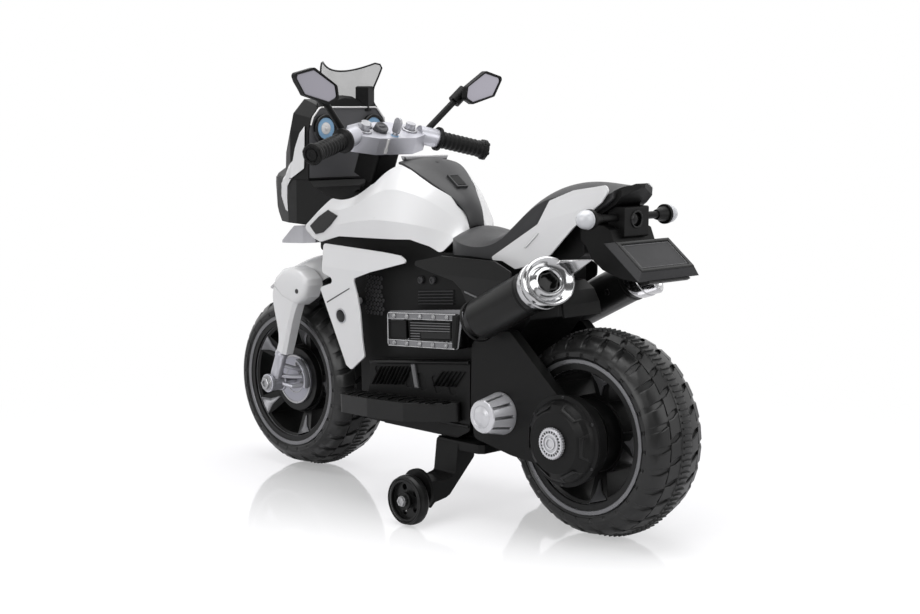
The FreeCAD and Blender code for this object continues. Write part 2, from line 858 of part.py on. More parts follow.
key_plug = cylinder("key_plug", "key_radius", "key_deep + key_radius",
                    in_fork(key_x, 0, clamp_top - s.key_deep), STEER_AXIS)
bow_shares = [(-0.5, 0), (-0.5, 0.8), (-0.25, 1), (0.25, 1), (0.5, 0.8), (0.5, 0)]
bow = slab("key_bow", "XZ_Plane",
           rounded([Vector(x * s.key_bow_wide, z * s.key_bow_tall, 0) for x, z in bow_shares],
                   s.key_radius),
           "key_bow_thick", symmetric=True)
fork_place(bow, Vector(key_x, 0, clamp_top + s.key_radius - s.seat_gap))
keep(fuse("ignition_key", key_plug, bow), "ignition_key")

post_shares = [(0.5, -1), (0.5, 1), (-0.5, 1), (-0.5, -1)]
post = slab("post_blank", "XY_Plane",
            rounded([Vector(x * s.post_depth - s.fork_offset, y * s.post_half, 0) for x,
                     y in post_shares], s.corner_round),
            "clamp_foot - post_foot - seat_gap", "post_foot")
post.Placement = FORK
post_bore = cylinder("post_bore", "stem_radius + run_gap", "clamp_foot - post_foot + 2 * cut_overrun",
                     in_fork(-s.fork_offset, 0, s.post_foot - s.cut_overrun), STEER_AXIS)
keep(cut("stem_cover", post, post_bore), "stem_cover")


# Chassis: two hollow half shells that meet on the centre plane

def inset_loop(points, wall):
    """Closed outline drawn in by the wall."""
    turn = sum(a.x * b.y - b.x * a.y for a, b in zip(points, points[1:] + points[:1]))
    inward = -wall if turn > 0 else wall
    run = [points[-1]] + points + [points[0]]
    return offset_run(run, inward)[1:-1]


core_shares = [
    (0.3579, 0.9067), (0.3579, 0.7143), (0.2896, 0.6975), (0.2254, 0.5546), (0.2077, 0.4538),
    (0.2022, 0.2437), (0.1776, 0.2151), (-0.082, 0.2151), (-0.082, 0.2218), (-0.2049, 0.2218),
    (-0.235, 0.2521), (-0.2459, 0.3613), (-0.2773, 0.4622), (-0.332, 0.5462),
    (-0.3579, 0.5798), (-0.3579, 0.7407), (-0.0683, 0.7407), (-0.0437, 0.7899),
    (-0.0137, 0.8655), (0.0191, 0.9277), (0.0847, 0.9277), (0.1366, 0.8958), (0.2637, 0.8672),
]
core_points = side(core_shares)
core_rear = min(point.x for point in core_points)
core_foot = min(point.y for point in core_points)
rear_floor = core_points[9].y
belly_shares = [
    (0.1339, 0.405), (-0.2049, 0.4504), (-0.2049, 0.2521), (-0.1639, 0.2252), (0.082, 0.2252),
    (0.1475, 0.2605),
]
belly_points = side(belly_shares)
engine_shares = [
    (0.0246, 0.5597), (-0.2049, 0.5899), (-0.1913, 0.484), (0.0205, 0.4655),
]
engine_points = side(engine_shares)
louvre_shares = [
    (0.1202, 0.3899), (0.0984, 0.3933), (0.082, 0.3462), (0.1038, 0.3429),
]

shell = side_plate("shell_blank", rounded(core_points, s.corner_round), "0", "core_half")
for points, reach in ((belly_points, "belly_half"), (engine_points, "engine_half - seat_gap")):
    sketch = add_sketch(shell, "XZ_Plane", rounded(points, s.corner_round), "-core_half")
    pad(shell, sketch, reach + " - core_half", reverse=True)
hollows = ((core_points, "core_half"), (belly_points, "belly_half"),
           (engine_points, "engine_half - seat_gap"))
for points, reach in hollows:
    sketch = add_sketch(shell, "XZ_Plane", polygon(inset_loop(points, s.panel_wall)))
    pocket(shell, sketch, reach + " - panel_wall")
louvre = pocket(shell, add_sketch(shell, "XZ_Plane", rounded(side(louvre_shares), s.corner_round),
                                  "-belly_half"),
                "panel_wall / 2", reverse=True)
row_pattern(shell, louvre, "louvre_count", "louvre_pitch")
bush_room = cylinder("bush_room", "stem_radius + run_gap + bush_wall + seat_gap",
                     "bush_tall + 2 * cut_overrun",
                     in_fork(-s.fork_offset, 0, s.bush_foot - s.cut_overrun), STEER_AXIS)
keep_pair("body_shells", cut("body_shell", shell, bush_room))
core_block = slab("core_block", "XZ_Plane", rounded(core_points, s.corner_round), "2 * core_half",
                  symmetric=True)


def flank_posts(label, post_shares):
    """Posts from the core's flank out to the middle of a panel's wall."""
    posts = []
    for x, z, y in post_shares:
        start = Vector(x * s.wheel_base, s.core_half + s.seat_gap, z * s.body_height)
        end = Vector(start.x, y * s.body_half_width - s.panel_wall / 2, start.z)
        posts.append(bar_between(label, "boss_radius", start, end))
    return posts


engine_cover_shares = [
    (0.0328, 0.5681), (-0.2158, 0.6), (-0.1995, 0.4857), (0.0287, 0.4672),
]
engine_field_shares = [
    (-0.0191, 0.5513), (-0.1038, 0.563), (-0.1011, 0.5042), (-0.0164, 0.4958),
]
engine_slot_shares = [
    (-0.1257, 0.5613), (-0.1325, 0.5622), (-0.1311, 0.5025), (-0.1243, 0.5017),
]
engine_cover = side_plate("engine_cover", rounded(side(engine_cover_shares), s.corner_round),
                          "engine_half", "engine_cover_thick")
field = add_sketch(engine_cover, "XZ_Plane", rounded(side(engine_field_shares), s.corner_round),
                   "-engine_half - engine_cover_thick")
pocket(engine_cover, field, "engine_field_deep", reverse=True)
slot = add_sketch(engine_cover, "XZ_Plane", polygon(side(engine_slot_shares)),
                  "-engine_half - engine_cover_thick")
slot = pocket(engine_cover, slot, "engine_field_deep", reverse=True)
row_pattern(engine_cover, slot, "engine_slot_count", "engine_slot_pitch")
keep_pair("engine_covers", engine_cover)

battery_x_share = -0.07
floor = core_foot + s.panel_wall + s.seat_gap
battery = block("battery", "battery_long", "2 * battery_half", "battery_tall",
                Vector(battery_x_share * s.wheel_base, -s.battery_half, floor))
keep(battery, "battery")
control = block("control_box", "control_long", "2 * control_half", "control_tall",
                Vector(battery_x_share * s.wheel_base, -s.control_half,
                       floor + s.battery_tall + s.seat_gap))
keep(control, "control_box")


# Tank: white creased side panels either side of the grey strip

strip_station_shares = [0.0792, 0.041, -0.0137, -0.0683, -0.1011]
strip_edge_shares = [
    (0.5169, 0.9916), (0.5339, 0.9798), (0.4195, 0.9378), (0.2415, 0.8874), (0.1483, 0.805),
]
strip_crown_shares = [1.0034, 0.995, 0.9546, 0.9008, 0.8151]
strip_wires = []
strip_room_wires = []
for x_share, (y_share, z_share), crown_share in zip(strip_station_shares, strip_edge_shares,
                                                    strip_crown_shares):
    x = x_share * s.wheel_base
    wide = y_share * s.body_half_width
    low = z_share * s.body_height
    high = crown_share * s.body_height
    skin = [Vector(x, -wide, low), Vector(x, 0, high), Vector(x, wide, low)]
    strip_wires.append(arched_wire(skin, [point - UP * s.strip_wall for point in skin]))
    room_half = wide + s.seat_gap
    room_low = low - 2 * s.strip_wall
    room_high = high + 2 * s.strip_wall
    strip_room_wires.append(wire([Vector(x, -room_half, room_low), Vector(x, room_half, room_low),
                                  Vector(x, room_half, room_high), Vector(x, -room_half, room_high)]))
strip_skin = loft("strip_skin", strip_wires)
strip_room = loft("strip_room", strip_room_wires)

tank_station_shares = [0.3825, 0.2732, 0.1366, 0.0683, 0.0273, -0.0546, -0.1038]
tank_run_shares = [
    [
    (0.822, 0.8067), (0.839, 0.7832), (0.839, 0.7647), (0.8136, 0.7361),
],
    [
    (0.822, 0.8807), (0.8814, 0.8403), (0.8983, 0.7899), (0.8729, 0.7294),
],
    [
    (0.6949, 0.9294), (0.8983, 0.8807), (0.9746, 0.8202), (0.9153, 0.7294),
],
    [
    (0.5551, 0.9815), (0.8305, 0.9126), (0.9915, 0.8269), (0.9322, 0.7294),
],
    [
    (0.5254, 0.9664), (0.7712, 0.9126), (0.9831, 0.8269), (0.9322, 0.7261),
],
    [
    (0.2966, 0.9008), (0.4407, 0.8639), (0.6102, 0.8067), (0.7458, 0.7227),
],
    [
    (0.1695, 0.8), (0.2881, 0.795), (0.4746, 0.7765), (0.661, 0.7193),
],
]
tank_outline_shares = [
    (0.3716, 0.7849), (0.2678, 0.8756), (0.1913, 0.9025), (0.1325, 0.9277), (0.082, 0.9916),
    (0.0683, 0.995), (0.0246, 0.995), (-0.1025, 0.9412), (-0.1025, 0.7899), (-0.0792, 0.7378),
    (-0.0546, 0.758), (-0.0191, 0.7765), (0.2254, 0.7681), (0.3019, 0.7445), (0.332, 0.7529),
]
tank_skin = loft("tank_skin", [wire(at_station(x * s.wheel_base, band(front(run), s.panel_wall)))
                               for x, run in zip(tank_station_shares, tank_run_shares)])
tank_outline = side_plate("tank_outline", rounded(side(tank_outline_shares), s.corner_round), "0",
                          "2 * body_half_width")
tank_trim = cut("tank_clear", common("tank_trim", tank_skin, tank_outline), strip_room)
tank_post_shares = [(0.082, 0.8235, 0.9915), (0.1913, 0.8151, 0.9407)]
keep_pair("tank_panels", fuse("tank_panel", tank_trim, *flank_posts("tank_post", tank_post_shares)))

strip_boss_share = 0.04
core_top = max(point.y for point in core_points)
strip_boss = cylinder("strip_boss", "boss_radius", "strip_boss_tall",
                      Vector(strip_boss_share * s.wheel_base, 0, core_top + s.seat_gap), UP)
rocker_place_shares = (-0.0369, 0.941)
ROCKER = Placement(Vector(rocker_place_shares[0] * s.wheel_base, 0,
                          rocker_place_shares[1] * s.body_height),
                   Rotation(ACROSS, -s.rocker_lean))


def rocker_block(label, margin, tall, top):
    """Box round the switch, drawn in the switch's own frame."""
    box = block(label, "rocker_long + 2 * (%s)" % margin, "2 * rocker_half + 2 * (%s)" % margin, tall,
                Vector())
    spare = s.rocker_frame if margin == "rocker_frame" else 0
    corner = Vector(-s.rocker_long / 2 - spare, -s.rocker_half - spare, top)
    box.Placement = ROCKER.multiply(Placement(corner, Rotation()))
    return box


rocker_frame = rocker_block("rocker_frame", "rocker_frame", "2 * rocker_thick", -2 * s.rocker_thick)
rocker_hole = rocker_block("rocker_hole", "0", "4 * rocker_thick", -3 * s.rocker_thick)
pin_reach = s.rocker_half + s.rocker_frame / 2
pin_low = -s.rocker_thick
rocker_pin_base = ROCKER.multVec(Vector(0, -pin_reach, pin_low))
rocker_pin_room = cylinder("rocker_pin_room", "rocker_pin_radius + run_gap",
                           "2 * rocker_half + rocker_frame + 2 * seat_gap",
                           rocker_pin_base - ACROSS * s.seat_gap, ACROSS)
keep(cut("tank_strip", fuse("strip_blank", strip_skin, strip_boss, rocker_frame), rocker_hole,
         rocker_pin_room), "tank_strip")
rocker_key = block("rocker_key", "rocker_long - 2 * rocker_swing_gap", "2 * rocker_half - 2 * seat_gap",
                   "rocker_thick + 2 * rocker_pin_radius", Vector())
rocker_key.Placement = ROCKER.multiply(Placement(
    Vector(s.rocker_swing_gap - s.rocker_long / 2, s.seat_gap - s.rocker_half,
           -s.rocker_thick - 2 * s.rocker_pin_radius),
    Rotation()))
rocker_pin = cylinder("rocker_pin", "rocker_pin_radius", "2 * rocker_half + rocker_frame",
                      rocker_pin_base, ACROSS)
keep(fuse("power_switch", rocker_key, rocker_pin), "power_switch")

# White lower shrouds: a bent sheet trimmed to the shoulder and the long leg
shroud_run_shares = [
    (0.9153, 0.7597), (0.9576, 0.6723), (0.9492, 0.6134), (0.8305, 0.3613),
]
shroud_outline_shares = [
    (0.2801, 0.7429), (0.0628, 0.7345), (0.0027, 0.7294), (-0.026, 0.7126), (0.1038, 0.6723),
    (0.1653, 0.6471), (0.153, 0.6034), (0.1462, 0.5479), (0.1462, 0.4689), (0.1421, 0.4151),
    (0.1954, 0.3681), (0.2131, 0.3798), (0.291, 0.6084), (0.2254, 0.6336), (0.2801, 0.6555),
]
shroud_sheet = slab("shroud_sheet", "YZ_Plane", polygon(band(front(shroud_run_shares), s.panel_wall)),
                    "wheel_base", symmetric=True)
shroud_outline = side_plate("shroud_outline", rounded(side(shroud_outline_shares), s.corner_round), "0",
                            "2 * body_half_width")
shroud_post_shares = [(0.123, 0.7143, 0.9407), (0.2077, 0.5714, 0.9237)]
keep_pair("side_shrouds", fuse("side_shroud", common("shroud_trim", shroud_sheet, shroud_outline),
                               *flank_posts("shroud_post", shroud_post_shares)))


# Exhausts: turned cans with a stepped chrome cap and a pointed fin

muffler_foot_shares = (-0.246, 0.56)
MUFFLER_FOOT = Vector(muffler_foot_shares[0] * s.wheel_base, s.muffler_spread,
                      muffler_foot_shares[1] * s.body_height)
MUFFLER_RUN = Rotation(ACROSS, s.muffler_rise - 90).multVec(UP)
MUFFLER = Placement(MUFFLER_FOOT, Rotation(ACROSS, s.muffler_rise - 90))
can_points = [(0, 0), (s.muffler_nose_radius, 0), (s.muffler_radius, s.muffler_nose),
              (s.muffler_radius, s.muffler_length), (0, s.muffler_length)]
can = turned("muffler_can", polygon([Vector(r, z, 0) for r, z in can_points]), "XZ_Plane", "V_Axis")
can.Placement = MUFFLER
muffler_tab_shares = [
    (-0.3279, 0.6084),
]
tab_point = side(muffler_tab_shares)[0]
muffler_tab = bar_between("muffler_tab", "boss_radius", Vector(tab_point.x, s.core_half + s.seat_gap,
                                                               tab_point.y),
                          Vector(tab_point.x, s.muffler_spread, tab_point.y))
keep_pair("mufflers", fuse("muffler", can, muffler_tab))

cap_foot = s.muffler_length + s.seat_gap
cap_step_shares = [(1.06, 0), (1.06, 0.4), (0.97, 0.46), (0.97, 0.7), (0.86, 0.78), (0.86, 1)]
cap_points = [(0, cap_foot)] + [(r * s.muffler_radius, cap_foot + z * s.cap_length) for r,
                                z in cap_step_shares]
cap_points += [(s.cap_bore, cap_foot + s.cap_length), (s.cap_bore,
                                                       cap_foot + s.cap_length - s.cap_bore_deep),
               (0, cap_foot + s.cap_length - s.cap_bore_deep)]
cap_turn = turned("muffler_cap_turn", polygon([Vector(r, z, 0) for r, z in cap_points]), "XZ_Plane",
                  "V_Axis")
cap_turn.Placement = MUFFLER
fin_shares = [(0.92, 0.5, 70), (0.8, 1.2, 60), (0.62, 1.75, 50), (0.16, 2.6, 20)]
fin_wires = []
for reach, along, spread in fin_shares:
    radius = reach * s.muffler_radius
    z = cap_foot + along * s.cap_length
    swing = [math.radians(angle) for angle in (90 - spread, 90, 90 + spread)]
    skin = [Vector(-radius * math.sin(a), radius * math.cos(a), z) for a in swing]
    lining = [Vector(-(radius - s.panel_wall) * math.sin(a), (radius - s.panel_wall) * math.cos(a),
                     z) for a in swing]
    fin_wires.append(arched_wire(skin, lining))
fin = loft("muffler_fin", fin_wires)
fin.Placement = MUFFLER
keep_pair("muffler_caps", fuse("muffler_cap", cap_turn, fin))

# Dark side covers, trimmed where the exhaust passes
cover_run_shares = [
    (0.7966, 0.7899), (0.8814, 0.7395), (0.9153, 0.6891), (0.8475, 0.5681),
]
cover_outline_shares = [
    (-0.0191, 0.7109), (-0.082, 0.7277), (-0.1257, 0.7395), (-0.2937, 0.7395),
    (-0.3484, 0.7143), (-0.3415, 0.6387), (-0.2596, 0.5798), (-0.2145, 0.6017),
    (-0.194, 0.6521), (-0.1708, 0.6739),
]
cover_sheet = slab("cover_sheet", "YZ_Plane", polygon(band(front(cover_run_shares), s.panel_wall)),
                   "wheel_base", symmetric=True)
cover_outline = side_plate("cover_outline", rounded(side(cover_outline_shares), s.corner_round), "0",
                           "2 * body_half_width")
muffler_room = cylinder("muffler_room", "muffler_radius + panel_wall", "muffler_length", MUFFLER_FOOT,
                        MUFFLER_RUN)
cover_post_shares = [(-0.1639, 0.7126, 0.8983), (-0.2596, 0.7143, 0.8983)]
cover_trim = cut("cover_trimmed", common("cover_trim", cover_sheet, cover_outline), muffler_room)
keep_pair("side_covers", fuse("side_cover", cover_trim, *flank_posts("cover_post", cover_post_shares)))


# Seat: crowned sections from the dip behind the tank up over the tail

seat_station_shares = [-0.1066, -0.1639, -0.2186, -0.2801, -0.3579, -0.4577, -0.5628]
seat_half_shares = [0.5254, 0.6949, 0.7203, 0.6864, 0.6017, 0.5, 0.3644]
seat_foot_shares = [0.7412, 0.7412, 0.7412, 0.7412, 0.7899, 0.8538, 0.921]
seat_edge_shares = [0.7832, 0.7731, 0.7697, 0.7933, 0.8773, 0.921, 0.9395]
seat_top_shares = [0.8067, 0.8067, 0.8, 0.8403, 0.9176, 0.9563, 0.9513]


def seat_wires(margin):
    """Crowned sections of the seat, grown by a margin."""
    wires = []
    for x, half, foot, edge, top in zip(seat_station_shares, seat_half_shares, seat_foot_shares,
                                        seat_edge_shares,
                                        seat_top_shares):
        x = x * s.wheel_base
        half = half * s.body_half_width + margin
        foot = foot * s.body_height - margin
        edge = edge * s.body_height + margin
        top = top * s.body_height + margin
        rim_points = [Vector(x, half, edge), Vector(x, 0, top), Vector(x, -half, edge)]
        low = [Vector(x, -half, foot), Vector(x, half, foot)]
        wires.append(Part.Wire([
            Part.Arc(*rim_points).toShape(),
            Part.makeLine(rim_points[2], low[0]),
            Part.makeLine(low[0], low[1]),
            Part.makeLine(low[1], rim_points[0]),
        ]))
    return wires


seat_skin = loft("seat_skin", seat_wires(0))
seat_room = loft("seat_room", seat_wires(s.seat_gap))
keep(cut("seat", seat_skin, core_block), "seat")

tail_station_shares = [-0.2459, -0.6284]
tail_run_shares = [[
    (0.7119, 0.9832), (0.7627, 0.7899), (0.7288, 0.6891),
], [
    (0.3729, 0.9916), (0.4237, 0.9412), (0.3729, 0.6891),
]]
tail_outline_shares = [
    (-0.2514, 0.7378), (-0.3866, 0.8437), (-0.4139, 0.9076), (-0.474, 0.9378),
    (-0.5533, 0.9546), (-0.5628, 0.9412), (-0.5464, 0.9092), (-0.4754, 0.8387),
    (-0.4167, 0.763), (-0.3675, 0.7328), (-0.3251, 0.7176), (-0.291, 0.7378),
]
tail_skin = loft("tail_skin", [wire(at_station(x * s.wheel_base, band(front(run), s.panel_wall)))
                               for x, run in zip(tail_station_shares, tail_run_shares)])
tail_outline = side_plate("tail_outline", rounded(side(tail_outline_shares), s.corner_round), "0",
                          "2 * body_half_width")
tail_post_shares = [(-0.332, 0.7294, 0.661)]
tail_trim = cut("tail_clear", common("tail_trim", tail_skin, tail_outline), seat_room)
keep_pair("tail_panels", fuse("tail_panel", tail_trim, *flank_posts("tail_post", tail_post_shares)))

tray_shares = [
    (-0.3583, 0.7966), (-0.4577, 0.8504), (-0.5628, 0.9277), (-0.5929, 0.9613),
    (-0.5956, 0.9479), (-0.5628, 0.9042), (-0.5301, 0.8807), (-0.4973, 0.8504),
    (-0.4776, 0.8303), (-0.4776, 0.7647), (-0.4508, 0.7496), (-0.3583, 0.7193),
]
tray_plan_shares = [
    (-0.3415, 0.322), (-0.5779, 0.322), (-0.597, 0), (-0.5779, -0.322), (-0.3415, -0.322),
]
tray_points = [Vector(min(point.x, core_rear - s.seat_gap), point.y, 0) for point in side(tray_shares)]
tray_blank = common("tray_blank",
                    slab("tray_side", "XZ_Plane", rounded(tray_points, s.corner_round), "2 * tray_half",
                         symmetric=True),
                    slab("tray_plan", "XY_Plane", polygon(plan(tray_plan_shares)), "2 * body_height"))
keep(cut("tail_tray", tray_blank, seat_room, tail_skin, mirrored("tail_skin_twin", tail_skin)),
     "tail_tray")

mudguard_shares = [
    (-0.3583, 0.6807), (-0.3825, 0.6807), (-0.4098, 0.6588), (-0.4262, 0.6252),
    (-0.4317, 0.5916),
]
mudguard_points = side(mudguard_shares)
mudguard_points[0] = Vector(core_rear - s.seat_gap, mudguard_points[0].y, 0)
keep(slab("rear_mudguard", "XZ_Plane", polygon(band(mudguard_points, -s.mudguard_wall)),
          "2 * mudguard_half", symmetric=True),
     "rear_mudguard")

holder_shares = [
    (-0.5628, 0.8387), (-0.5738, 0.8067), (-0.6721, 0.7118), (-0.6639, 0.7059),
    (-0.5915, 0.7151), (-0.5437, 0.7328), (-0.5123, 0.7597), (-0.4959, 0.7916),
    (-0.4809, 0.8067), (-0.4781, 0.8487), (-0.5437, 0.8487),
]
holder_points = side(holder_shares)
holder = slab("holder_blank", "XZ_Plane", polygon(holder_points), "2 * holder_half", symmetric=True)
lamp_shares = [
    (-0.5786, 0.8168), (-0.5786, 0.8975), (-0.5328, 0.8975), (-0.5328, 0.8235),
]
lamp = slab("lamp_blank", "XZ_Plane", rounded(side(lamp_shares), s.corner_round / 2), "2 * lamp_half",
            symmetric=True)
lamp_eye = side([
    (-0.5786, 0.8639),
])[0]
lamp_hole = cylinder("lamp_hole", "lamp_hole", "lamp_half",
                     Vector(lamp_eye.x - s.cut_overrun, 0, lamp_eye.y), Vector(1, 0, 0))
keep(cut("plate_holder", fuse("holder_with_lamp", holder, lamp), tray_blank, lamp_hole), "plate_holder")
plate_run = holder_points[2] - holder_points[1]
plate_lean = math.degrees(math.atan2(-plate_run.y, -plate_run.x))
PLATE = Placement(Vector(holder_points[1].x, 0, holder_points[1].y), Rotation(ACROSS, -plate_lean))


def plate_wire(inset, height):
    """Outline of the plate, drawn in by the inset and raised by the height."""
    corners = [(-inset, 1), (inset - s.plate_tall, 1), (inset - s.plate_tall, -1), (-inset, -1)]
    return wire([Vector(x, flank * (s.plate_half - inset), height) for x, flank in corners])


plate = loft("number_plate", [plate_wire(0, s.seat_gap), plate_wire(s.plate_bevel,
                                                                    s.seat_gap + s.plate_thick)],
                                                                    ruled=True)
plate.Placement = PLATE
keep(plate, "number_plate")

signal_shares = [
    (-0.5546, 0.8689),
]
signal_point = side(signal_shares)[0]
signal_root = Vector(signal_point.x, s.lamp_half + s.seat_gap, signal_point.y)


def signal_cone(label, near, far, length, distance):
    """Cone along the signal's stalk."""
    cone = doc.addObject("Part::Cone", label)
    bind(cone, Radius1=near, Radius2=far, Height=length)
    cone.Placement = Placement(signal_root + ACROSS * distance, Rotation(UP, ACROSS))
    return cone


stalk = cylinder("signal_stalk", "stalk_radius", "stalk_length + pod_length / 2", signal_root, ACROSS)
pod = signal_cone("signal_pod", "lens_tip_radius", "pod_radius", "pod_length", s.stalk_length)
keep_pair("signal_stalks", fuse("signal_arm", stalk, pod))
keep_pair("signal_lenses", signal_cone("signal_lens", "pod_radius", "lens_tip_radius", "lens_length",
                                       s.stalk_length + s.pod_length))


# Front fairing, fixed to the body: lower nose, cowl, windshield, dash, lights and beak

nose_side_shares = [
    (0.2678, 0.7899), (0.2637, 0.8739), (0.3415, 0.9066), (0.3607, 0.9282), (0.5792, 0.9282),
    (0.5902, 0.9076), (0.5355, 0.8185), (0.5082, 0.7916), (0.4112, 0.7916), (0.3579, 0.7899),
]
nose_plan_shares = [
    (0.2596, 0.7881), (0.4098, 0.7881), (0.4508, 0.7458), (0.5464, 0.4915), (0.5902, 0.3051),
    (0.6011, 0.1271), (0.6011, -0.1271), (0.5902, -0.3051), (0.5464, -0.4915),
    (0.4508, -0.7458), (0.4098, -0.7881), (0.2596, -0.7881),
]
nose_fill = common("nose_fill",
                   slab("nose_side", "XZ_Plane", rounded(side(nose_side_shares), s.corner_round),
                        "2 * nose_half", symmetric=True),
                   slab("nose_plan", "XY_Plane", polygon(plan(nose_plan_shares)), "2 * body_height"))
nose_room_side_shares = [
    (0.2322, 0.7731), (0.2322, 0.8546), (0.3525, 0.905), (0.3689, 0.9227), (0.5683, 0.9227),
    (0.5792, 0.9092), (0.5273, 0.8252), (0.5041, 0.7983), (0.4098, 0.7983), (0.4044, 0.7731),
]
nose_room_rear_shares = [(-1, 0.788), (-1, -0.788)]
nose_room_plan_shares = nose_room_rear_shares[:1] + nose_plan_shares[1:-1] + nose_room_rear_shares[1:]
nose_room_plan = polygon(inset_loop(plan(nose_room_plan_shares), s.panel_wall))
nose_room = common("nose_room",
                   slab("nose_room_side", "XZ_Plane", polygon(side(nose_room_side_shares)),
                        "2 * nose_half - 2 * panel_wall",
                        symmetric=True),
                   slab("nose_room_plan", "XY_Plane", nose_room_plan, "2 * body_height"))
post_room = cylinder("post_room", "2 * stem_radius + panel_wall", "clamp_foot - bush_foot",
                     in_fork(-s.fork_offset, 0, s.bush_foot), STEER_AXIS)
keep(cut("lower_nose", nose_fill, nose_room, post_room), "lower_nose")

cowl_station_shares = [0.3579, 0.4276, 0.4713, 0.5109, 0.5792]
cowl_half_shares = [
    [
    (0.5932, 1.1529), (0.7627, 1.116), (0.8136, 1.0756), (0.8136, 0.9287),
],
    [
    (0.5254, 1.1731), (0.7458, 1.1294), (0.8136, 1.0756), (0.8136, 0.9287),
],
    [
    (0.3644, 1.0773), (0.5593, 1.0487), (0.678, 1.0084), (0.6949, 0.9287),
],
    [
    (0.2203, 0.9916), (0.3051, 0.9815), (0.4237, 0.9664), (0.5593, 0.9287),
],
    [
    (0.1525, 0.9445), (0.2373, 0.9412), (0.3051, 0.9378), (0.339, 0.9287),
],
]


def cowl_loop(half_shares, inset):
    """Eight-sided section of the cowl, drawn in by an inset."""
    half = front(half_shares)
    loop = half + [Vector(-point.x, point.y, 0) for point in half[::-1]]
    return inset_loop(loop, inset) if inset else loop


cowl_stations = [share * s.wheel_base for share in cowl_station_shares]
cowl_fill = loft("cowl_fill", [wire(at_station(x, cowl_loop(half, 0)))
                               for x, half in zip(cowl_stations, cowl_half_shares)], ruled=True)
room_stations = cowl_stations[:4]
room_stations[0] -= s.cut_overrun
room_stations[3] -= s.panel_wall
cowl_room = loft("cowl_room", [wire(at_station(x, cowl_loop(half, s.panel_wall)))
                               for x, half in zip(room_stations, cowl_half_shares)], ruled=True)
keep(cut("cowl", cowl_fill, cowl_room), "cowl")

dash_outline = polygon(cowl_loop(cowl_half_shares[0], s.panel_wall + s.seat_gap))
dash = slab("dash_blank", "YZ_Plane", dash_outline, "dash_thick")
dash.Placement = Placement(Vector(cowl_stations[0], 0, 0), Rotation())
dial_height_share = 1.079
dial_centre = Vector(cowl_stations[0] - s.dial_thick / 2, s.dial_spread,
                     dial_height_share * s.body_height)
dial = cylinder("dial", "dial_radius", "dial_thick", dial_centre, Vector(1, 0, 0))
keep(fuse("dash_panel", dash, dial, mirrored("dial_twin", dial)), "dash_panel")

cheek_shares = [
    (0.3607, 1.0655), (0.3716, 0.9731), (0.4098, 0.9412), (0.4221, 0.9496), (0.4249, 1.0689),
]
cheek = side_plate("cheek", rounded(side(cheek_shares), s.corner_round), "cowl_half + seat_gap",
                   "cheek_thick")
keep_pair("cowl_cheeks", cheek)

shield_foot_shares = [(0.3552, 0.6102, 1.1496), (0.418, 0, 1.173)]
shield_top_shares = [(0.332, 0.636, 1.286), (0.397, 0, 1.261)]


def shield_wire(edge_share, middle_share):
    """Curved strip of the windshield from its edge to its middle and back."""
    edge = Vector(edge_share[0] * s.wheel_base, edge_share[1] * s.body_half_width,
                  edge_share[2] * s.body_height)
    middle = Vector(middle_share[0] * s.wheel_base, 0, middle_share[2] * s.body_height)
    other = Vector(edge.x, -edge.y, edge.z)
    depth = Vector(middle.x - edge.x, 0, middle.z - edge.z).normalize() * s.shield_wall
    skin = [edge, middle, other]
    return arched_wire(skin, [point - depth for point in skin])


shield_skin = loft("shield_skin", [shield_wire(*shield_foot_shares), shield_wire(*shield_top_shares)],
                   ruled=True)
keep(cut("windshield", shield_skin, cowl_fill), "windshield")

brow = front(cowl_half_shares[1])[0]
chin = front(cowl_half_shares[3])[0]
slope = Vector(cowl_stations[3] - cowl_stations[1], 0, chin.y - brow.y)
slope_angle = math.degrees(math.atan2(-slope.z, slope.x))
lens_shares = [(0.12, 0.74), (0.5, 0.55), (0.84, 0.36), (0.9, 0.2), (0.9, -0.2), (0.84, -0.36),
               (0.5, -0.55), (0.12, -0.74)]
headlight = slab("headlight", "XY_Plane",
                 rounded([Vector(x * slope.Length, y * brow.x, 0) for x, y in lens_shares],
                         s.corner_round),
                 "headlight_thick", "seat_gap")
headlight.Placement = Placement(Vector(cowl_stations[1], 0, brow.y), Rotation(ACROSS, slope_angle))
keep(headlight, "headlight_lens")

beak_side_shares = [
    (0.6311, 0.7059), (0.5287, 0.7714), (0.4645, 0.7765), (0.4098, 0.7277), (0.4713, 0.721),
]
beak_plan_shares = [
    (0.3962, 0.3814), (0.4713, 0.3559), (0.5464, 0.2119), (0.6311, 0.0339), (0.6311, -0.0339),
    (0.5464, -0.2119), (0.4713, -0.3559), (0.3962, -0.3814),
]
beak_blade = common("beak_blade",
                    slab("beak_side", "XZ_Plane", rounded(side(beak_side_shares), s.corner_round / 2),
                         "2 * beak_half", symmetric=True),
                    slab("beak_plan", "XY_Plane", polygon(plan(beak_plan_shares)), "2 * body_height"))
beak_post_shares = [
    (0.4454, 0.7496), (0.4727, 0.7546), (0.4549, 0.8403), (0.4262, 0.8403),
]
beak_post = slab("beak_post", "XZ_Plane", polygon(side(beak_post_shares)), "2 * beak_post_half",
                 symmetric=True)
keep(cut("beak", fuse("beak_blank", beak_blade, beak_post), nose_fill), "beak")


# Rear drive: side arms, gear on the wheel, motor and pinion, covers and caps

def in_rear(points):
    """Side-view points measured from the rear axle."""
    return [Vector(point.x - REAR_AXLE.x, point.y - REAR_AXLE.z, 0) for point in points]


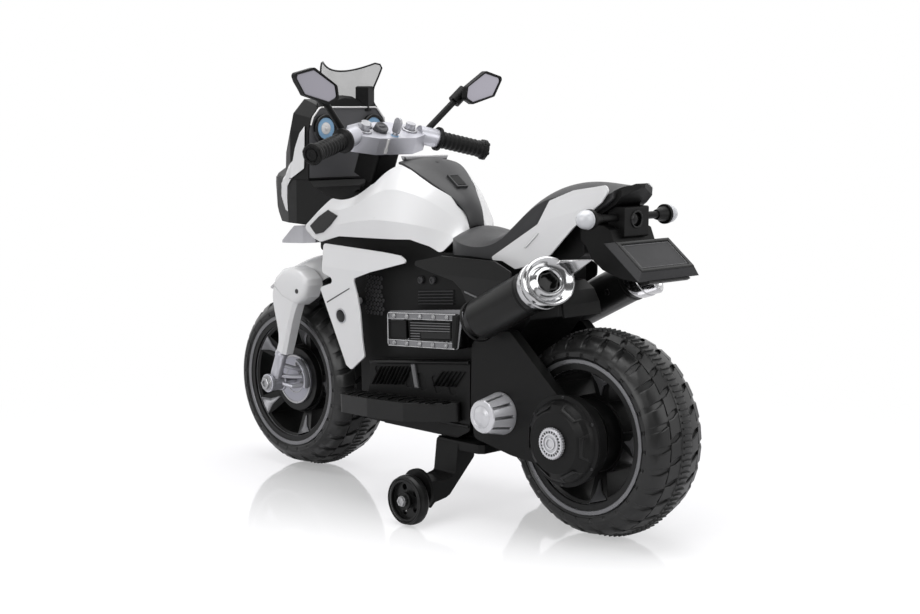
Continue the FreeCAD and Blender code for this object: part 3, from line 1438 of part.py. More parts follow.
def gear_outline(teeth, phase):
    """Straight-flanked teeth with room to run, one tooth on the phase angle."""
    pitch_radius = teeth * s.gear_module / 2
    tip_share = 0.8
    root_share = 1.2
    tip = pitch_radius + tip_share * s.gear_module
    root = pitch_radius - root_share * s.gear_module
    step = 2 * math.pi / teeth
    flank_shares = [(root, 0.6), (tip, 0.25)]
    points = []
    for index in range(int(teeth)):
        middle = phase + index * step
        run = [(radius, -share * s.tooth_fill * step) for radius, share in flank_shares]
        run += [(radius, -turn) for radius, turn in run[::-1]]
        points += [Vector(radius * math.cos(middle + turn), radius * math.sin(middle + turn),
                          0) for radius, turn in run]
    return polygon(points)


mesh_angle = math.radians(s.motor_tilt)
centre_distance = (s.gear_teeth + s.pinion_teeth) * s.gear_module / 2
MOTOR_AXIS = REAR_AXLE + Vector(math.cos(mesh_angle), 0, math.sin(mesh_angle)) * centre_distance

gear = side_plate("gear_blank", gear_outline(s.gear_teeth, mesh_angle), "hub_half", "gear_thick")
pocket(gear, add_sketch(gear, "XZ_Plane", circle(0, 0, s.axle_radius + s.run_gap)), "4 * hub_half",
       symmetric=True)
gear.Placement = Placement(REAR_AXLE, Rotation())
keep(gear, "drive_gear")
pinion_teeth = side_plate("pinion_teeth", gear_outline(s.pinion_teeth,
                                                       mesh_angle + math.pi + math.pi / s.pinion_teeth),
                          "hub_half + seat_gap", "gear_thick")
pinion_teeth.Placement = Placement(MOTOR_AXIS, Rotation())
pinion_shaft = cylinder("pinion_shaft", "motor_shaft", "motor_inner - hub_half + motor_length / 2",
                        MOTOR_AXIS + ACROSS * (s.hub_half + s.seat_gap), ACROSS)
keep(fuse("motor_pinion", pinion_teeth, pinion_shaft), "motor_pinion")
motor_can = cylinder("motor_can", "motor_radius", "motor_length", MOTOR_AXIS + ACROSS * s.motor_inner,
                     ACROSS)
shaft_room = cylinder("shaft_room", "motor_shaft + run_gap",
                      "motor_length / 2 + cut_overrun + seat_gap",
                      MOTOR_AXIS + ACROSS * (s.motor_inner - s.cut_overrun), ACROSS)
keep(cut("drive_motor", motor_can, shaft_room), "drive_motor")

arm_shares = [
    (-0.2186, 0.5042), (-0.2732, 0.5496), (-0.3347, 0.5529), (-0.4809, 0.3966), (-0.5, 0.2824),
    (-0.4508, 0.1815), (-0.4098, 0.205), (-0.3415, 0.2118), (-0.2268, 0.2387),
    (-0.2158, 0.3361),
]
arm = side_plate("arm_blank", rounded(in_rear(side(arm_shares)), 2 * s.corner_round), "arm_inner",
                 "arm_thick")
pad(arm, add_sketch(arm, "XZ_Plane", circle(0, 0, s.hub_cover_radius - s.panel_wall), "-arm_inner"),
    "arm_thick", reverse=True)
mount_shares = [
    (-0.2186, 0.2773), (-0.2186, 0.479), (-0.2363, 0.479), (-0.2363, 0.2773),
]
mount = add_sketch(arm, "XZ_Plane", polygon(in_rear(side(mount_shares))), "-core_half - seat_gap")
pad(arm, mount, "arm_inner - core_half - seat_gap", reverse=True)
pocket(arm, add_sketch(arm, "XZ_Plane", circle(0, 0, s.axle_radius + s.run_gap)), "4 * arm_inner",
       symmetric=True)
motor_spot = in_rear([Vector(MOTOR_AXIS.x, MOTOR_AXIS.z, 0)])[0]
pocket(arm, add_sketch(arm, "XZ_Plane", circle(motor_spot.x, motor_spot.y, s.motor_radius + s.run_gap)),
       "4 * arm_inner", symmetric=True)
arm.Placement = Placement(REAR_AXLE, Rotation())
keep_pair("rear_arms", arm)

arm_outer = s.arm_inner + s.arm_thick
cover_face = arm_outer + s.hub_cover_tall
hub_cover_shares = [(0, 1), (0.15, 1), (0.2, 0.91), (0.45, 0.88), (0.7, 0.81), (1, 0.66), (1, 0)]
hub_cover_run = [Vector(arm_outer + y * s.hub_cover_tall, r * s.hub_cover_radius, 0) for y,
                 r in hub_cover_shares]
hub_cover = turned("hub_cover", polygon(band(hub_cover_run, s.panel_wall)))
hub_cover.Placement = Placement(REAR_AXLE, Rotation())
keep_pair("hub_covers", hub_cover)
hub_cap = cylinder("hub_cap", "hub_disc_radius", "hub_disc_thick",
                   REAR_AXLE + ACROSS * (cover_face + s.seat_gap), ACROSS)
rear_axle = cylinder("rear_axle", "axle_radius", "2 * rear_axle_half",
                     REAR_AXLE - ACROSS * s.rear_axle_half, ACROSS)

pivot_shares = [
    (-0.3101, 0.3227),
]
pivot_point = side(pivot_shares)[0]
pivot = turned("pivot_cap", polygon([Vector(arm_outer, 0, 0), Vector(arm_outer, s.pivot_radius, 0),
                                     Vector(arm_outer + s.pivot_tall, s.pivot_tip_radius, 0),
                                     Vector(arm_outer + s.pivot_tall, 0, 0)]))
slot_half = s.pivot_slot_wide / 2
slot_outline = polygon([Vector(s.pivot_tip_radius - slot_half, -slot_half, 0),
                        Vector(2 * s.pivot_radius, -slot_half, 0),
                        Vector(2 * s.pivot_radius, slot_half, 0),
                        Vector(s.pivot_tip_radius - slot_half, slot_half, 0)])
pivot_slot = pocket(pivot, add_sketch(pivot, "XZ_Plane", slot_outline,
                                      "-(arm_inner + arm_thick + pivot_slot_wide)"), "2 * pivot_tall")
ring_pattern(pivot, pivot_slot, "pivot_slot_count", "Y_Axis")
pivot.Placement = Placement(Vector(pivot_point.x, 0, pivot_point.y), Rotation())
keep_pair("axle_caps", group("caps_left", hub_cap, pivot))


# Stabiliser wheels on bent arms

trainer_x_share = -0.1434
trainer_x = trainer_x_share * s.wheel_base
trainer_inner = s.trainer_spread - s.trainer_half_width - s.corner_round
arm_top = rear_floor - s.seat_gap
arm_reach = trainer_inner - s.seat_gap - s.trainer_back_thick / 2
trainer_arm_shares = [
    (0.5254, 0.1681), (0.5254, 0.2202), (0.8475, 0.2202), (0.9025, 0.1277), (1.0593, 0.121),
    (1.4237, 0.121), (1.4237, 0.0403), (1.3051, 0.0605), (1.0847, 0.0672), (1.0085, 0.0739),
]
trainer_arm_points = [Vector(min(point.x, arm_reach), min(point.y, arm_top),
                             0) for point in front(trainer_arm_shares)]
trainer_bar = slab("trainer_bar", "YZ_Plane", rounded(trainer_arm_points, s.corner_round),
                   "trainer_arm_wide", symmetric=True)
trainer_bar.Placement = Placement(Vector(trainer_x, 0, 0), Rotation())
trainer_back = cylinder("trainer_back", "trainer_back_radius", "trainer_back_thick",
                        Vector(trainer_x, trainer_inner - s.seat_gap - s.trainer_back_thick,
                               s.trainer_radius + s.trainer_back_rise), ACROSS)
trainer_plate_shares = [
    (-0.1025, 0.2881), (-0.1025, 0.7797), (-0.1134, 0.8475), (-0.2418, 0.8475),
    (-0.2527, 0.7797), (-0.2527, 0.2881),
]
trainer_plate = slab("trainer_plate", "XY_Plane", polygon(plan(trainer_plate_shares)),
                     "trainer_plate_thick")
trainer_plate.Placement = Placement(Vector(0, 0, arm_top - s.trainer_plate_thick), Rotation())
trainer_arm = fuse("trainer_arm_blank", trainer_bar, trainer_back, trainer_plate)
bolt_start = trainer_inner - s.trainer_back_thick - 2 * s.trainer_bolt_radius
bolt_end = s.trainer_spread + s.trainer_half_width + s.panel_wall
bolt_base = Vector(trainer_x, bolt_start, s.trainer_radius)
bolt_room = cylinder("trainer_bolt_room", "trainer_bolt_radius + run_gap", "trainer_spread",
                     bolt_base - ACROSS * s.cut_overrun, ACROSS)
keep_pair("trainer_arms", cut("trainer_arm", trainer_arm, bolt_room))
bolt = bar_between("trainer_bolt_shank", "trainer_bolt_radius", bolt_base,
                   Vector(trainer_x, bolt_end, s.trainer_radius))
bolt_head = cylinder("trainer_bolt_head", "trainer_bolt_head", "trainer_bolt_radius",
                     Vector(trainer_x, bolt_end - s.cut_overrun + s.seat_gap, s.trainer_radius), ACROSS)
trainer_bolt = fuse("trainer_bolt", bolt, bolt_head)
keep(group("axle_bolts", rear_axle, trainer_bolt, mirrored("trainer_bolt_twin", trainer_bolt)),
     "axle_bolts")

bore = s.trainer_bolt_radius + s.run_gap
wheel_in = trainer_inner
wheel_out = bolt_end - s.cut_overrun
web_half_share = 0.35
tread_shares = [(-1, 0.81), (-0.8, 0.92), (-0.4, 0.99), (0, 1), (0.4, 0.99), (0.8, 0.92), (1, 0.81)]
tread_run = [(s.trainer_spread + y * s.trainer_half_width, r * s.trainer_radius) for y,
             r in tread_shares]
tread_in = tread_run[0][0]
tread_out = tread_run[-1][0]
web_in = s.trainer_spread - web_half_share * s.trainer_half_width
web_out = s.trainer_spread + web_half_share * s.trainer_half_width
tread_foot = s.trainer_radius * 3 / 4
wheel_run = [(wheel_in, bore), (wheel_in, s.trainer_hub_radius), (web_in, s.trainer_hub_radius),
             (web_in, tread_foot),
             (tread_in, tread_foot)]
wheel_run += tread_run
wheel_run += [(tread_out, tread_foot), (web_out, tread_foot), (web_out, s.trainer_hub_radius),
              (wheel_out, s.trainer_hub_radius), (wheel_out, bore)]
trainer_wheel = turned("trainer_wheel", polygon([Vector(y, r, 0) for y, r in wheel_run]))
web_middle = (s.trainer_hub_radius + tread_foot) / 2
hole = add_sketch(trainer_wheel, "XZ_Plane", circle(web_middle, 0, s.trainer_bolt_radius),
                  "-trainer_spread")
hole = pocket(trainer_wheel, hole, "4 * trainer_half_width", symmetric=True)
ring_pattern(trainer_wheel, hole, "spoke_count", "Y_Axis")
trainer_wheel.Placement = Placement(Vector(trainer_x, 0, s.trainer_radius), Rotation())
keep_sides("trainer_wheel", trainer_wheel)


# Footboards and the accelerator pedal in the right one

board_top_share = 0.319
BOARD = Placement(Vector(0, 0, board_top_share * s.body_height), Rotation(ACROSS, s.board_tilt))
board_edge_shares = [
    (0.1831, 1.0339), (0.1694, 1.2034), (0.0546, 1.2966), (-0.071, 1.2881), (-0.1475, 1.0339),
]
board_near = s.belly_half + s.seat_gap
board_points = plan(board_edge_shares)
board_length_shares = (0.178, -0.198)
board_points = [Vector(board_length_shares[0] * s.wheel_base, board_near, 0)] + board_points
board_points.append(Vector(board_length_shares[1] * s.wheel_base, board_near, 0))
board = slab("footboard_blank", "XY_Plane", rounded(board_points, 2 * s.corner_round), "board_thick",
             "-board_thick")
rib_x_share = 0.125
rib_half = s.board_rib_pitch / 5
rib_near = board_near + s.corner_round
rib_far_share = 1.13
rib_outline = polygon([Vector(rib_x_share * s.wheel_base + x, y, 0)
                       for x, y in ((-rib_half, rib_near), (rib_half, rib_near),
                                    (rib_half, rib_far_share * s.body_half_width),
                                    (-rib_half, rib_far_share * s.body_half_width))])
board_rib = pocket(board, add_sketch(board, "XY_Plane", rib_outline), "board_rib_deep")
row_pattern(board, board_rib, "board_rib_count", "board_rib_pitch")
board.Placement = BOARD

pedal_x_share = 0.014
pedal_y = -(board_near + s.pedal_half + s.corner_round)
pedal_pin = Vector(pedal_x_share * s.wheel_base, pedal_y, -s.pedal_thick / 2)
recess = block("pedal_recess", "pedal_long + 2 * corner_round", "2 * pedal_half + 2 * seat_gap",
               "3 * pedal_thick", Vector())
recess.Placement = BOARD.multiply(Placement(
    pedal_pin - Vector(s.corner_round, s.pedal_half + s.seat_gap, s.pedal_thick), Rotation()))
pin_half = s.pedal_half + s.corner_round / 2
pin_room = cylinder("pedal_pin_room", "pedal_pin_radius + run_gap",
                    "2 * pedal_half + corner_round + 2 * seat_gap", Vector(), ACROSS)
pin_room.Placement = BOARD.multiply(Placement(pedal_pin - ACROSS * (pin_half + s.seat_gap),
                                              Rotation(UP, ACROSS)))
right_board = cut("right_footboard", mirrored("right_footboard_blank", board), recess, pin_room)
keep(group("footboards", board, right_board), "footboards")
pedal_run = [Vector(-s.pedal_thick / 2, 0, 0), Vector(0, -s.pedal_thick / 2, 0),
             Vector(s.pedal_long, -s.pedal_thick / 4, 0),
             Vector(s.pedal_long, s.pedal_thick / 4, 0), Vector(0, s.pedal_thick / 2, 0)]
pedal_plate = slab("pedal_plate", "XZ_Plane", polygon(pedal_run), "2 * pedal_half", symmetric=True)
pedal_plate.Placement = BOARD.multiply(Placement(pedal_pin, Rotation(ACROSS, -s.pedal_tilt)))
pedal_bar = cylinder("pedal_bar", "pedal_pin_radius", "2 * pedal_half + corner_round", Vector(), ACROSS)
pedal_bar.Placement = BOARD.multiply(Placement(pedal_pin - ACROSS * pin_half, Rotation(UP, ACROSS)))
keep(fuse("accelerator_pedal", pedal_plate, pedal_bar), "accelerator_pedal")


# Build, check and write every sub-part

doc.recompute()
for item in doc.Objects:
    if "Invalid" in item.State or "Error" in item.State:
        raise ValueError("failed object: %s %s" % (item.Label, item.State))
os.makedirs("parts", exist_ok=True)
for label, thing in NODES.items():
    if thing.Shape.isNull() or not thing.Shape.isValid() or not thing.Shape.Solids:
        raise ValueError("bad shape: " + label)
    thing.Shape.exportStep("parts/%s.step" % label)
    print(label, len(thing.Shape.Solids), round(thing.Shape.Volume))
print(len(NODES), "nodes")
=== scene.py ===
import json
from math import cos, pi, radians, sin, tan

import bmesh
import bpy
from mathutils import Matrix, Vector
from mathutils.bvhtree import BVHTree


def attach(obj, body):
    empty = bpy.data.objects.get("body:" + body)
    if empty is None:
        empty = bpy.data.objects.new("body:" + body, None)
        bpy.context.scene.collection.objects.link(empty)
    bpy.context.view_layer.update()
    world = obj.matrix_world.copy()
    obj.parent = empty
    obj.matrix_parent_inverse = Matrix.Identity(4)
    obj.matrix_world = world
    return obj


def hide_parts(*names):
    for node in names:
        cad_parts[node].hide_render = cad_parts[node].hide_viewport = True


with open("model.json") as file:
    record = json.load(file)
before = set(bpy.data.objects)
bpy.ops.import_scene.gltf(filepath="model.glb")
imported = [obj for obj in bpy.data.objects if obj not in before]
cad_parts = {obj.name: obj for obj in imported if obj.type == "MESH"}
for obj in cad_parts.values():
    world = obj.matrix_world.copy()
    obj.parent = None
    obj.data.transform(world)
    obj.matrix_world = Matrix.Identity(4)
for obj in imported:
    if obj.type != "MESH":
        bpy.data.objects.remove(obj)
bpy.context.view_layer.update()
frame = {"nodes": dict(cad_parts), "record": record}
nodes = frame["nodes"]
scene = bpy.context.scene

MM = 0.001
SIDES = (1, -1)


def shown(name, data):
    """New object in the scene."""
    made = bpy.data.objects.new(name, data)
    scene.collection.objects.link(made)
    return made


# Shader maths

def put(shader, name, value):
    """Set a shader socket to a constant or to a shaded value."""
    if isinstance(value, Shade):
        shader.id_data.links.new(value.socket, shader.inputs[name])
    else:
        shader.inputs[name].default_value = value


class Shade:
    """A shader socket whose sums and products add their own nodes."""

    def __init__(self, tree, socket=None):
        self.tree = tree
        self.socket = socket

    def node(self, kind, sockets=None, out=0, stops=None, **settings):
        """Add one node: its settings first, then its sockets."""
        made = self.tree.nodes.new("ShaderNode" + kind)
        for name, value in settings.items():
            setattr(made, name, value)
        if stops:
            for element, (place, colour) in zip(made.color_ramp.elements, stops):
                element.position = place
                element.color = (*colour, 1)
        for name, value in (sockets or {}).items():
            put(made, name, value)
        return Shade(self.tree, made.outputs[out] if made.outputs else None)

    def maths(self, operation, *values):
        return self.node("Math", dict(enumerate(values)), operation=operation)

    def __add__(self, other):
        return self.maths("ADD", self, other)

    __radd__ = __add__

    def __sub__(self, other):
        return self.maths("SUBTRACT", self, other)

    def __rsub__(self, other):
        return self.maths("SUBTRACT", other, self)

    def __mul__(self, other):
        return self.maths("MULTIPLY", self, other)

    __rmul__ = __mul__


# Finishes

EDGE_ROUND = 1.4
# Painted shade: how far ambient occlusion looks for creases, and how dark it paints them
SHADE_REACH = 14
PAINTED_SHADE_SHARE = 0.35
CLOUD_SCALE = 9.0
CLOUD_STOPS = (0.3, 0.7)
SMEAR_SCALE = 55.0
STREAK_SCALE = 40.0
STREAK_ROUGH = 0.06
GRAIN_STRENGTH = 0.5
COAT_ROUGH = 0.06
CLEAR_COAT = 0.5
CLEAR_COAT_ROUGH = 0.03

finishes = {}


def blank(name):
    """New finish: its place input and its shader."""
    material = finishes[name] = bpy.data.materials.new(name)
    material.use_nodes = True
    tree = material.node_tree
    shader = tree.nodes["Principled BSDF"]
    place = Shade(tree).node("TexCoord", out="Object")
    return place, shader


def grey(level):
    return (level, level, level)


def moulded(name, colour, rough, spread=0.12, rough_spread=0.08, grain=900, depth=0.04, coat=0.0,
            metal=0.0, shine=0.5):
    """Moulded or painted plastic: faint mottling, uneven gloss, fine grain, soft edges and painted shade in
    creases.
    """
    place, shader = blank(name)
    cloud = place.node("TexNoise", {"Vector": place, "Scale": CLOUD_SCALE, "Detail": 4.0})
    smear = place.node("TexNoise", {"Vector": place, "Scale": SMEAR_SCALE, "Detail": 3.0})
    pits = place.node("TexNoise", {"Vector": place, "Scale": float(grain), "Detail": 2.0})
    soft_edge = place.node("Bevel", {"Radius": EDGE_ROUND * MM}, samples=4)
    dark = tuple(c * (1 - spread) for c in colour)
    light = tuple(min(1, c * (1 + spread)) for c in colour)
    mottled = cloud.node("ValToRGB", {"Fac": cloud}, stops=list(zip(CLOUD_STOPS, (dark, light))))
    # Painted shade: ambient occlusion darkens the base colour in creases and recesses, down to a share of
    # the colour
    unshaded_share = place.node("AmbientOcclusion", {"Distance": SHADE_REACH * MM}, out="AO", samples=6)
    painted_shade = (*(c * PAINTED_SHADE_SHARE for c in colour), 1)
    put(shader, "Base Color", place.node("MixRGB", {"Fac": unshaded_share, "Color1": painted_shade, "Color2": mottled}))
    put(shader, "Roughness", smear * (2 * rough_spread) + (rough - rough_spread))
    put(shader, "Metallic", metal)
    put(shader, "Specular IOR Level", shine)
    put(shader, "Coat Weight", coat)
    put(shader, "Coat Roughness", COAT_ROUGH)
    bump = {"Strength": GRAIN_STRENGTH, "Distance": depth * MM, "Height": pits, "Normal": soft_edge}
    put(shader, "Normal", pits.node("Bump", bump))


def see_through(name, colour, rough, alpha):
    """Clear or smoked plastic with a few faint streaks of wiping."""
    place, shader = blank(name)
    streaks = place.node("TexNoise", {"Vector": place, "Scale": STREAK_SCALE, "Detail": 5.0,
                                      "Distortion": 1.0})
    put(shader, "Base Color", (*colour, 1))
    put(shader, "Roughness", streaks * STREAK_ROUGH + rough)
    put(shader, "Alpha", alpha)
    put(shader, "Coat Weight", CLEAR_COAT)
    put(shader, "Coat Roughness", CLEAR_COAT_ROUGH)


moulded("gloss_white", (0.80, 0.80, 0.81), 0.24, spread=0.015, rough_spread=0.05, grain=260, depth=0.02,
        coat=0.4)
moulded("satin_black", grey(0.007), 0.42, grain=1500, shine=0.2)
moulded("cover_black", grey(0.009), 0.34, grain=1500, shine=0.28)
moulded("gloss_black", grey(0.006), 0.2, grain=600, depth=0.01, shine=0.4)
moulded("wheel_black", grey(0.008), 0.32, grain=1200, depth=0.03, shine=0.3)
moulded("tyre_black", grey(0.011), 0.34, grain=1100, depth=0.08)
moulded("seat_grey", (0.038, 0.038, 0.040), 0.45, grain=620, depth=0.12, shine=0.35)
moulded("strip_grey", (0.042, 0.042, 0.044), 0.36, grain=1400, shine=0.35)
moulded("dash_grey", (0.085, 0.085, 0.09), 0.45, grain=1400, shine=0.4)
moulded("rib_grey", (0.16, 0.16, 0.165), 0.38, grain=1400)
moulded("rim_grey", (0.22, 0.22, 0.23), 0.3, grain=1600, depth=0.02, metal=0.7)
moulded("silver_paint", (0.55, 0.55, 0.58), 0.34, grain=2200, depth=0.02, metal=0.75)
moulded("clamp_silver", (0.60, 0.60, 0.65), 0.36, grain=2200, depth=0.02, metal=0.6)
moulded("chrome", (0.58, 0.58, 0.59), 0.13, spread=0.03, rough_spread=0.05, grain=300, depth=0.01,
        metal=1.0)
moulded("dark_chrome", (0.30, 0.30, 0.31), 0.2, grain=300, depth=0.01, metal=1.0)
moulded("disc_grey", (0.40, 0.40, 0.45), 0.34, grain=2200, depth=0.02, metal=0.75)
moulded("knob_silver", (0.74, 0.74, 0.77), 0.32, grain=2200, depth=0.02, metal=0.4)
moulded("steel", (0.48, 0.48, 0.49), 0.3, grain=1800, depth=0.02, metal=1.0)
moulded("mirror_silver", (0.66, 0.64, 0.72), 0.05, spread=0.02, rough_spread=0.02, grain=60, depth=0.004,
        metal=1.0)
moulded("gear_white", (0.70, 0.68, 0.60), 0.45)
moulded("case_blue", (0.10, 0.12, 0.17), 0.5)
moulded("plate_grey", (0.026, 0.026, 0.028), 0.4, grain=1400, shine=0.3)
moulded("gauge_blue", (0.26, 0.46, 0.68), 0.3, grain=1200)
moulded("gauge_white", (0.78, 0.77, 0.77), 0.3, grain=1200, spread=0.03)
moulded("lamp_clear", (0.62, 0.63, 0.66), 0.14, spread=0.06, grain=240, depth=0.005, coat=0.8)
see_through("smoked", grey(0.10), 0.08, 0.34)
see_through("clear", (0.80, 0.82, 0.85), 0.08, 0.55)

SLOT_FINISHES = {"dark_grey": "seat_grey", "silver": "silver_paint", "mirror": "mirror_silver",
                 "drive_plastic": "gear_white", "battery_case": "case_blue"}
NODE_FINISHES = {
    "tank_strip": "strip_grey", "number_plate": "plate_grey", "mufflers": "cover_black",
    "side_covers": "cover_black", "footboards": "cover_black", "dash_panel": "dash_grey",
    "handlebar": "clamp_silver", "signal_lenses": "lamp_clear", "engine_covers": "dark_chrome",
    "brake_discs": "disc_grey", "axle_caps": "knob_silver", "beak": "silver_paint",
    "steering_bush": "satin_black",
}
# Slot and finish of pieces that look alike
SATIN = ("satin_black", None)
GLOSS = ("satin_black", "gloss_black")
STRIP = ("dark_grey", "strip_grey")
RIB = ("dark_grey", "rib_grey")
PAINT = ("gloss_white", None)


def wear(mesh, slot, finish=None):
    """Give a mesh its own finish, or else that of its slot."""
    mesh.materials.clear()
    mesh.materials.append(finishes[finish or SLOT_FINISHES.get(slot, slot)])


for part in frame["record"]["subparts"]:
    wear(nodes[part["node"]].data, part["material_slot"], NODE_FINISHES.get(part["node"]))


# Camera at the photograph's angle

CAMERA_TARGET = Vector((-0.05305, 0.020, 0.34323))
CAMERA_DISTANCE = 2.78982
CAMERA_AZIMUTH = radians(225.2907)
CAMERA_HEIGHT = radians(7.3147)
CAMERA_ROLL = radians(0.1907)
CAMERA_LENS = 63.34
CAMERA_SENSOR = 36
PHOTO_SIZE = (920, 614)
back = Vector((sin(CAMERA_AZIMUTH) * cos(CAMERA_HEIGHT),
               -cos(CAMERA_AZIMUTH) * cos(CAMERA_HEIGHT), sin(CAMERA_HEIGHT)))
camera_place = CAMERA_TARGET + back * CAMERA_DISTANCE
camera_turn = (-back).to_track_quat("-Z", "Y").to_matrix() @ Matrix.Rotation(CAMERA_ROLL, 3, "Z")


# Points and outlines in millimetres

FAR_OUT = 600
MITRE_LIMIT = 0.3


def angles(count, start=0.0):
    """Evenly spaced turns, in radians."""
    return [radians(start) + step * 2 * pi / count for step in range(count)]


def around(radius, count, start=0.0):
    """Evenly spaced points of a circle."""
    return [(radius * cos(turn), radius * sin(turn)) for turn in angles(count, start)]


def polar(radius, degrees, height=0.0):
    """A point at a radius and a turn about Z."""
    turn = radians(degrees)
    return Vector((radius * cos(turn), radius * sin(turn), height))


def inset(outline, by):
    """The outline drawn in by a distance, whichever way round it runs."""
    points = [Vector(point) for point in outline]
    ahead = points[1:] + points[:1]
    way = 1 if sum(a.x * b.y - b.x * a.y for a, b in zip(points, ahead)) > 0 else -1
    drawn = []
    for before, here, after in zip(points[-1:] + points[:-1], points, ahead):
        first = (here - before).normalized().orthogonal() * way
        second = (after - here).normalized().orthogonal() * way
        drawn.append(here + (first + second) * (by / max(MITRE_LIMIT, 1 + first.dot(second))))
    return drawn


def spread(points, steps):
    """Points evenly filled in along each run of a line."""
    line = [Vector(point) for point in points]
    runs = zip(line, line[1:])
    return [here.lerp(there, step / steps) for here, there in runs for step in range(steps)] + line[-1:]


def along(ends, share, lift=0.0):
    """A point part of the way along an edge, raised by a lift."""
    (x, z), (end_x, end_z) = ends
    return (x + share * (end_x - x), z + share * (end_z - z) + lift)


def band(ends, low, high):
    """A strip that follows an edge between two lifts."""
    return [along(ends, 0, low), along(ends, 1, low), along(ends, 1, high), along(ends, 0, high)]


# Places on the skins of the solids

skins = {}


def meet(node, start, way):
    """Where a line from a place first meets a CAD node, if it does."""
    if node not in skins:
        mesh = nodes[node].data
        skins[node] = BVHTree.FromPolygons([corner.co for corner in mesh.vertices],
                                           [tuple(face.vertices) for face in mesh.polygons])
    hit = skins[node].ray_cast(Vector(start) * MM, Vector(way))[0]
    return hit / MM if hit else None


def from_side(node, side, x, z):
    """Where a level line from one flank meets a CAD node."""
    return meet(node, (x, side * FAR_OUT, z), (0, -side, 0))


def on_skin(pixel, node_names, lift=0.0):
    """Where a pixel of the photograph meets the nearest of some CAD nodes, lifted to the viewer."""
    focus = CAMERA_LENS / CAMERA_SENSOR * PHOTO_SIZE[0]
    start = camera_place / MM
    way = Vector(((pixel[0] - PHOTO_SIZE[0] / 2) / focus, (PHOTO_SIZE[1] / 2 - pixel[1]) / focus, -1))
    way = (camera_turn @ way).normalized()
    hits = [hit for hit in (meet(node, start, way) for node in node_names) if hit]
    return min(hits, key=lambda hit: (hit - start).length) - way * lift


# Frames that the pieces sit in

AXLE_X = 366
WHEEL_RADIUS = 168
WHEELS = {"front_wheel": AXLE_X, "rear_wheel": -AXLE_X}
CAN_RISE = radians(26.6)
CAN_FOOT = (-180, 126, 333)


def axes(origin, right, up, out):
    """A frame from its origin and its three directions."""
    return Matrix.Translation(origin) @ Matrix((right, up, out)).transposed().to_4x4()


def at(place, x=0, y=0, z=0):
    """A frame moved within itself."""
    return place @ Matrix.Translation((x, y, z))


def spun(place, turn, about="Z"):
    """A frame turned about one of its own axes."""
    return place @ Matrix.Rotation(turn, 4, about)


def leaned(origin, degrees):
    """Frame leaned back: X ahead and up, Y to the left, Z up and back."""
    lean = radians(degrees)
    return axes(origin, (cos(lean), 0, sin(lean)), (0, 1, 0), (-sin(lean), 0, cos(lean)))


def rearward(x, y=0, z=0):
    """Frame that looks back: X to the right, Y up."""
    return axes((x, y, z), (0, -1, 0), (0, 0, 1), (-1, 0, 0))


def flank(side, reach, x=0, z=0):
    """Upright frame on one flank: X forward, Y up, Z outward."""
    return axes((x, side * reach, z), (1, 0, 0), (0, 0, 1), (0, side, 0))


def wheel_face(side, axle, height=WHEEL_RADIUS):
    """Frame of a wheel's outer face, on its axle."""
    return flank(side, 0, axle, height)


FORK = leaned((AXLE_X, 0, WHEEL_RADIUS), 22)
CLAMP_TOP = at(FORK, z=518)
PLATE = leaned((-420, 0, 480), 38.1)
BOARD = leaned((0, 0, 190.2), -3)
DASH = rearward(257)
LENS = axes((351.5, 0, 648), (0, 1, 0), (-0.447, 0, 0.894), (0.894, 0, 0.447))


def fork_face(side, reach):
    """Frame on one side of the fork: X ahead, Y up the leg, Z outward."""
    return FORK @ flank(side, reach)


def can_axis(side):
    """Frame along one exhaust can, from its front foot to its end."""
    x, y, z = CAN_FOOT
    return axes((x, side * y, z), (0, 1, 0), (sin(CAN_RISE), 0, cos(CAN_RISE)),
                (-cos(CAN_RISE), 0, sin(CAN_RISE)))


def seat(side, node, x, z, step=6):
    """Frame that lies on the outer skin of a CAD node."""
    middle = from_side(node, side, x, z)
    right = (from_side(node, side, x + step, z) - middle).normalized()
    out = (from_side(node, side, x, z + step) - middle).cross(right).normalized()
    if out.y * side < 0:
        out = -out
    return axes(middle, right, out.cross(right), out)


def circle(places, radius, count, height, start=0.0):
    """Frames evenly spaced on a circle in each of some frames."""
    return [at(place, x, y, height) for place in places for x, y in around(radius, count, start)]


def both(place, *sizes):
    """The same frame on the left and on the right."""
    return [place(side, *sizes) for side in SIDES]


# Pieces

SHARP_ANGLE = radians(32)
SINK = 0.4
DRAPE_SINK = 0.5
PATCH_SINK = 0.6
PATCH_PULL = 0.06
WASHER_SHARES = ((1.35, 0.25), (1.2, 0.35))
HEAD_SHARES = ((1, 0.8), (0.8, 1), (0.4, 1))


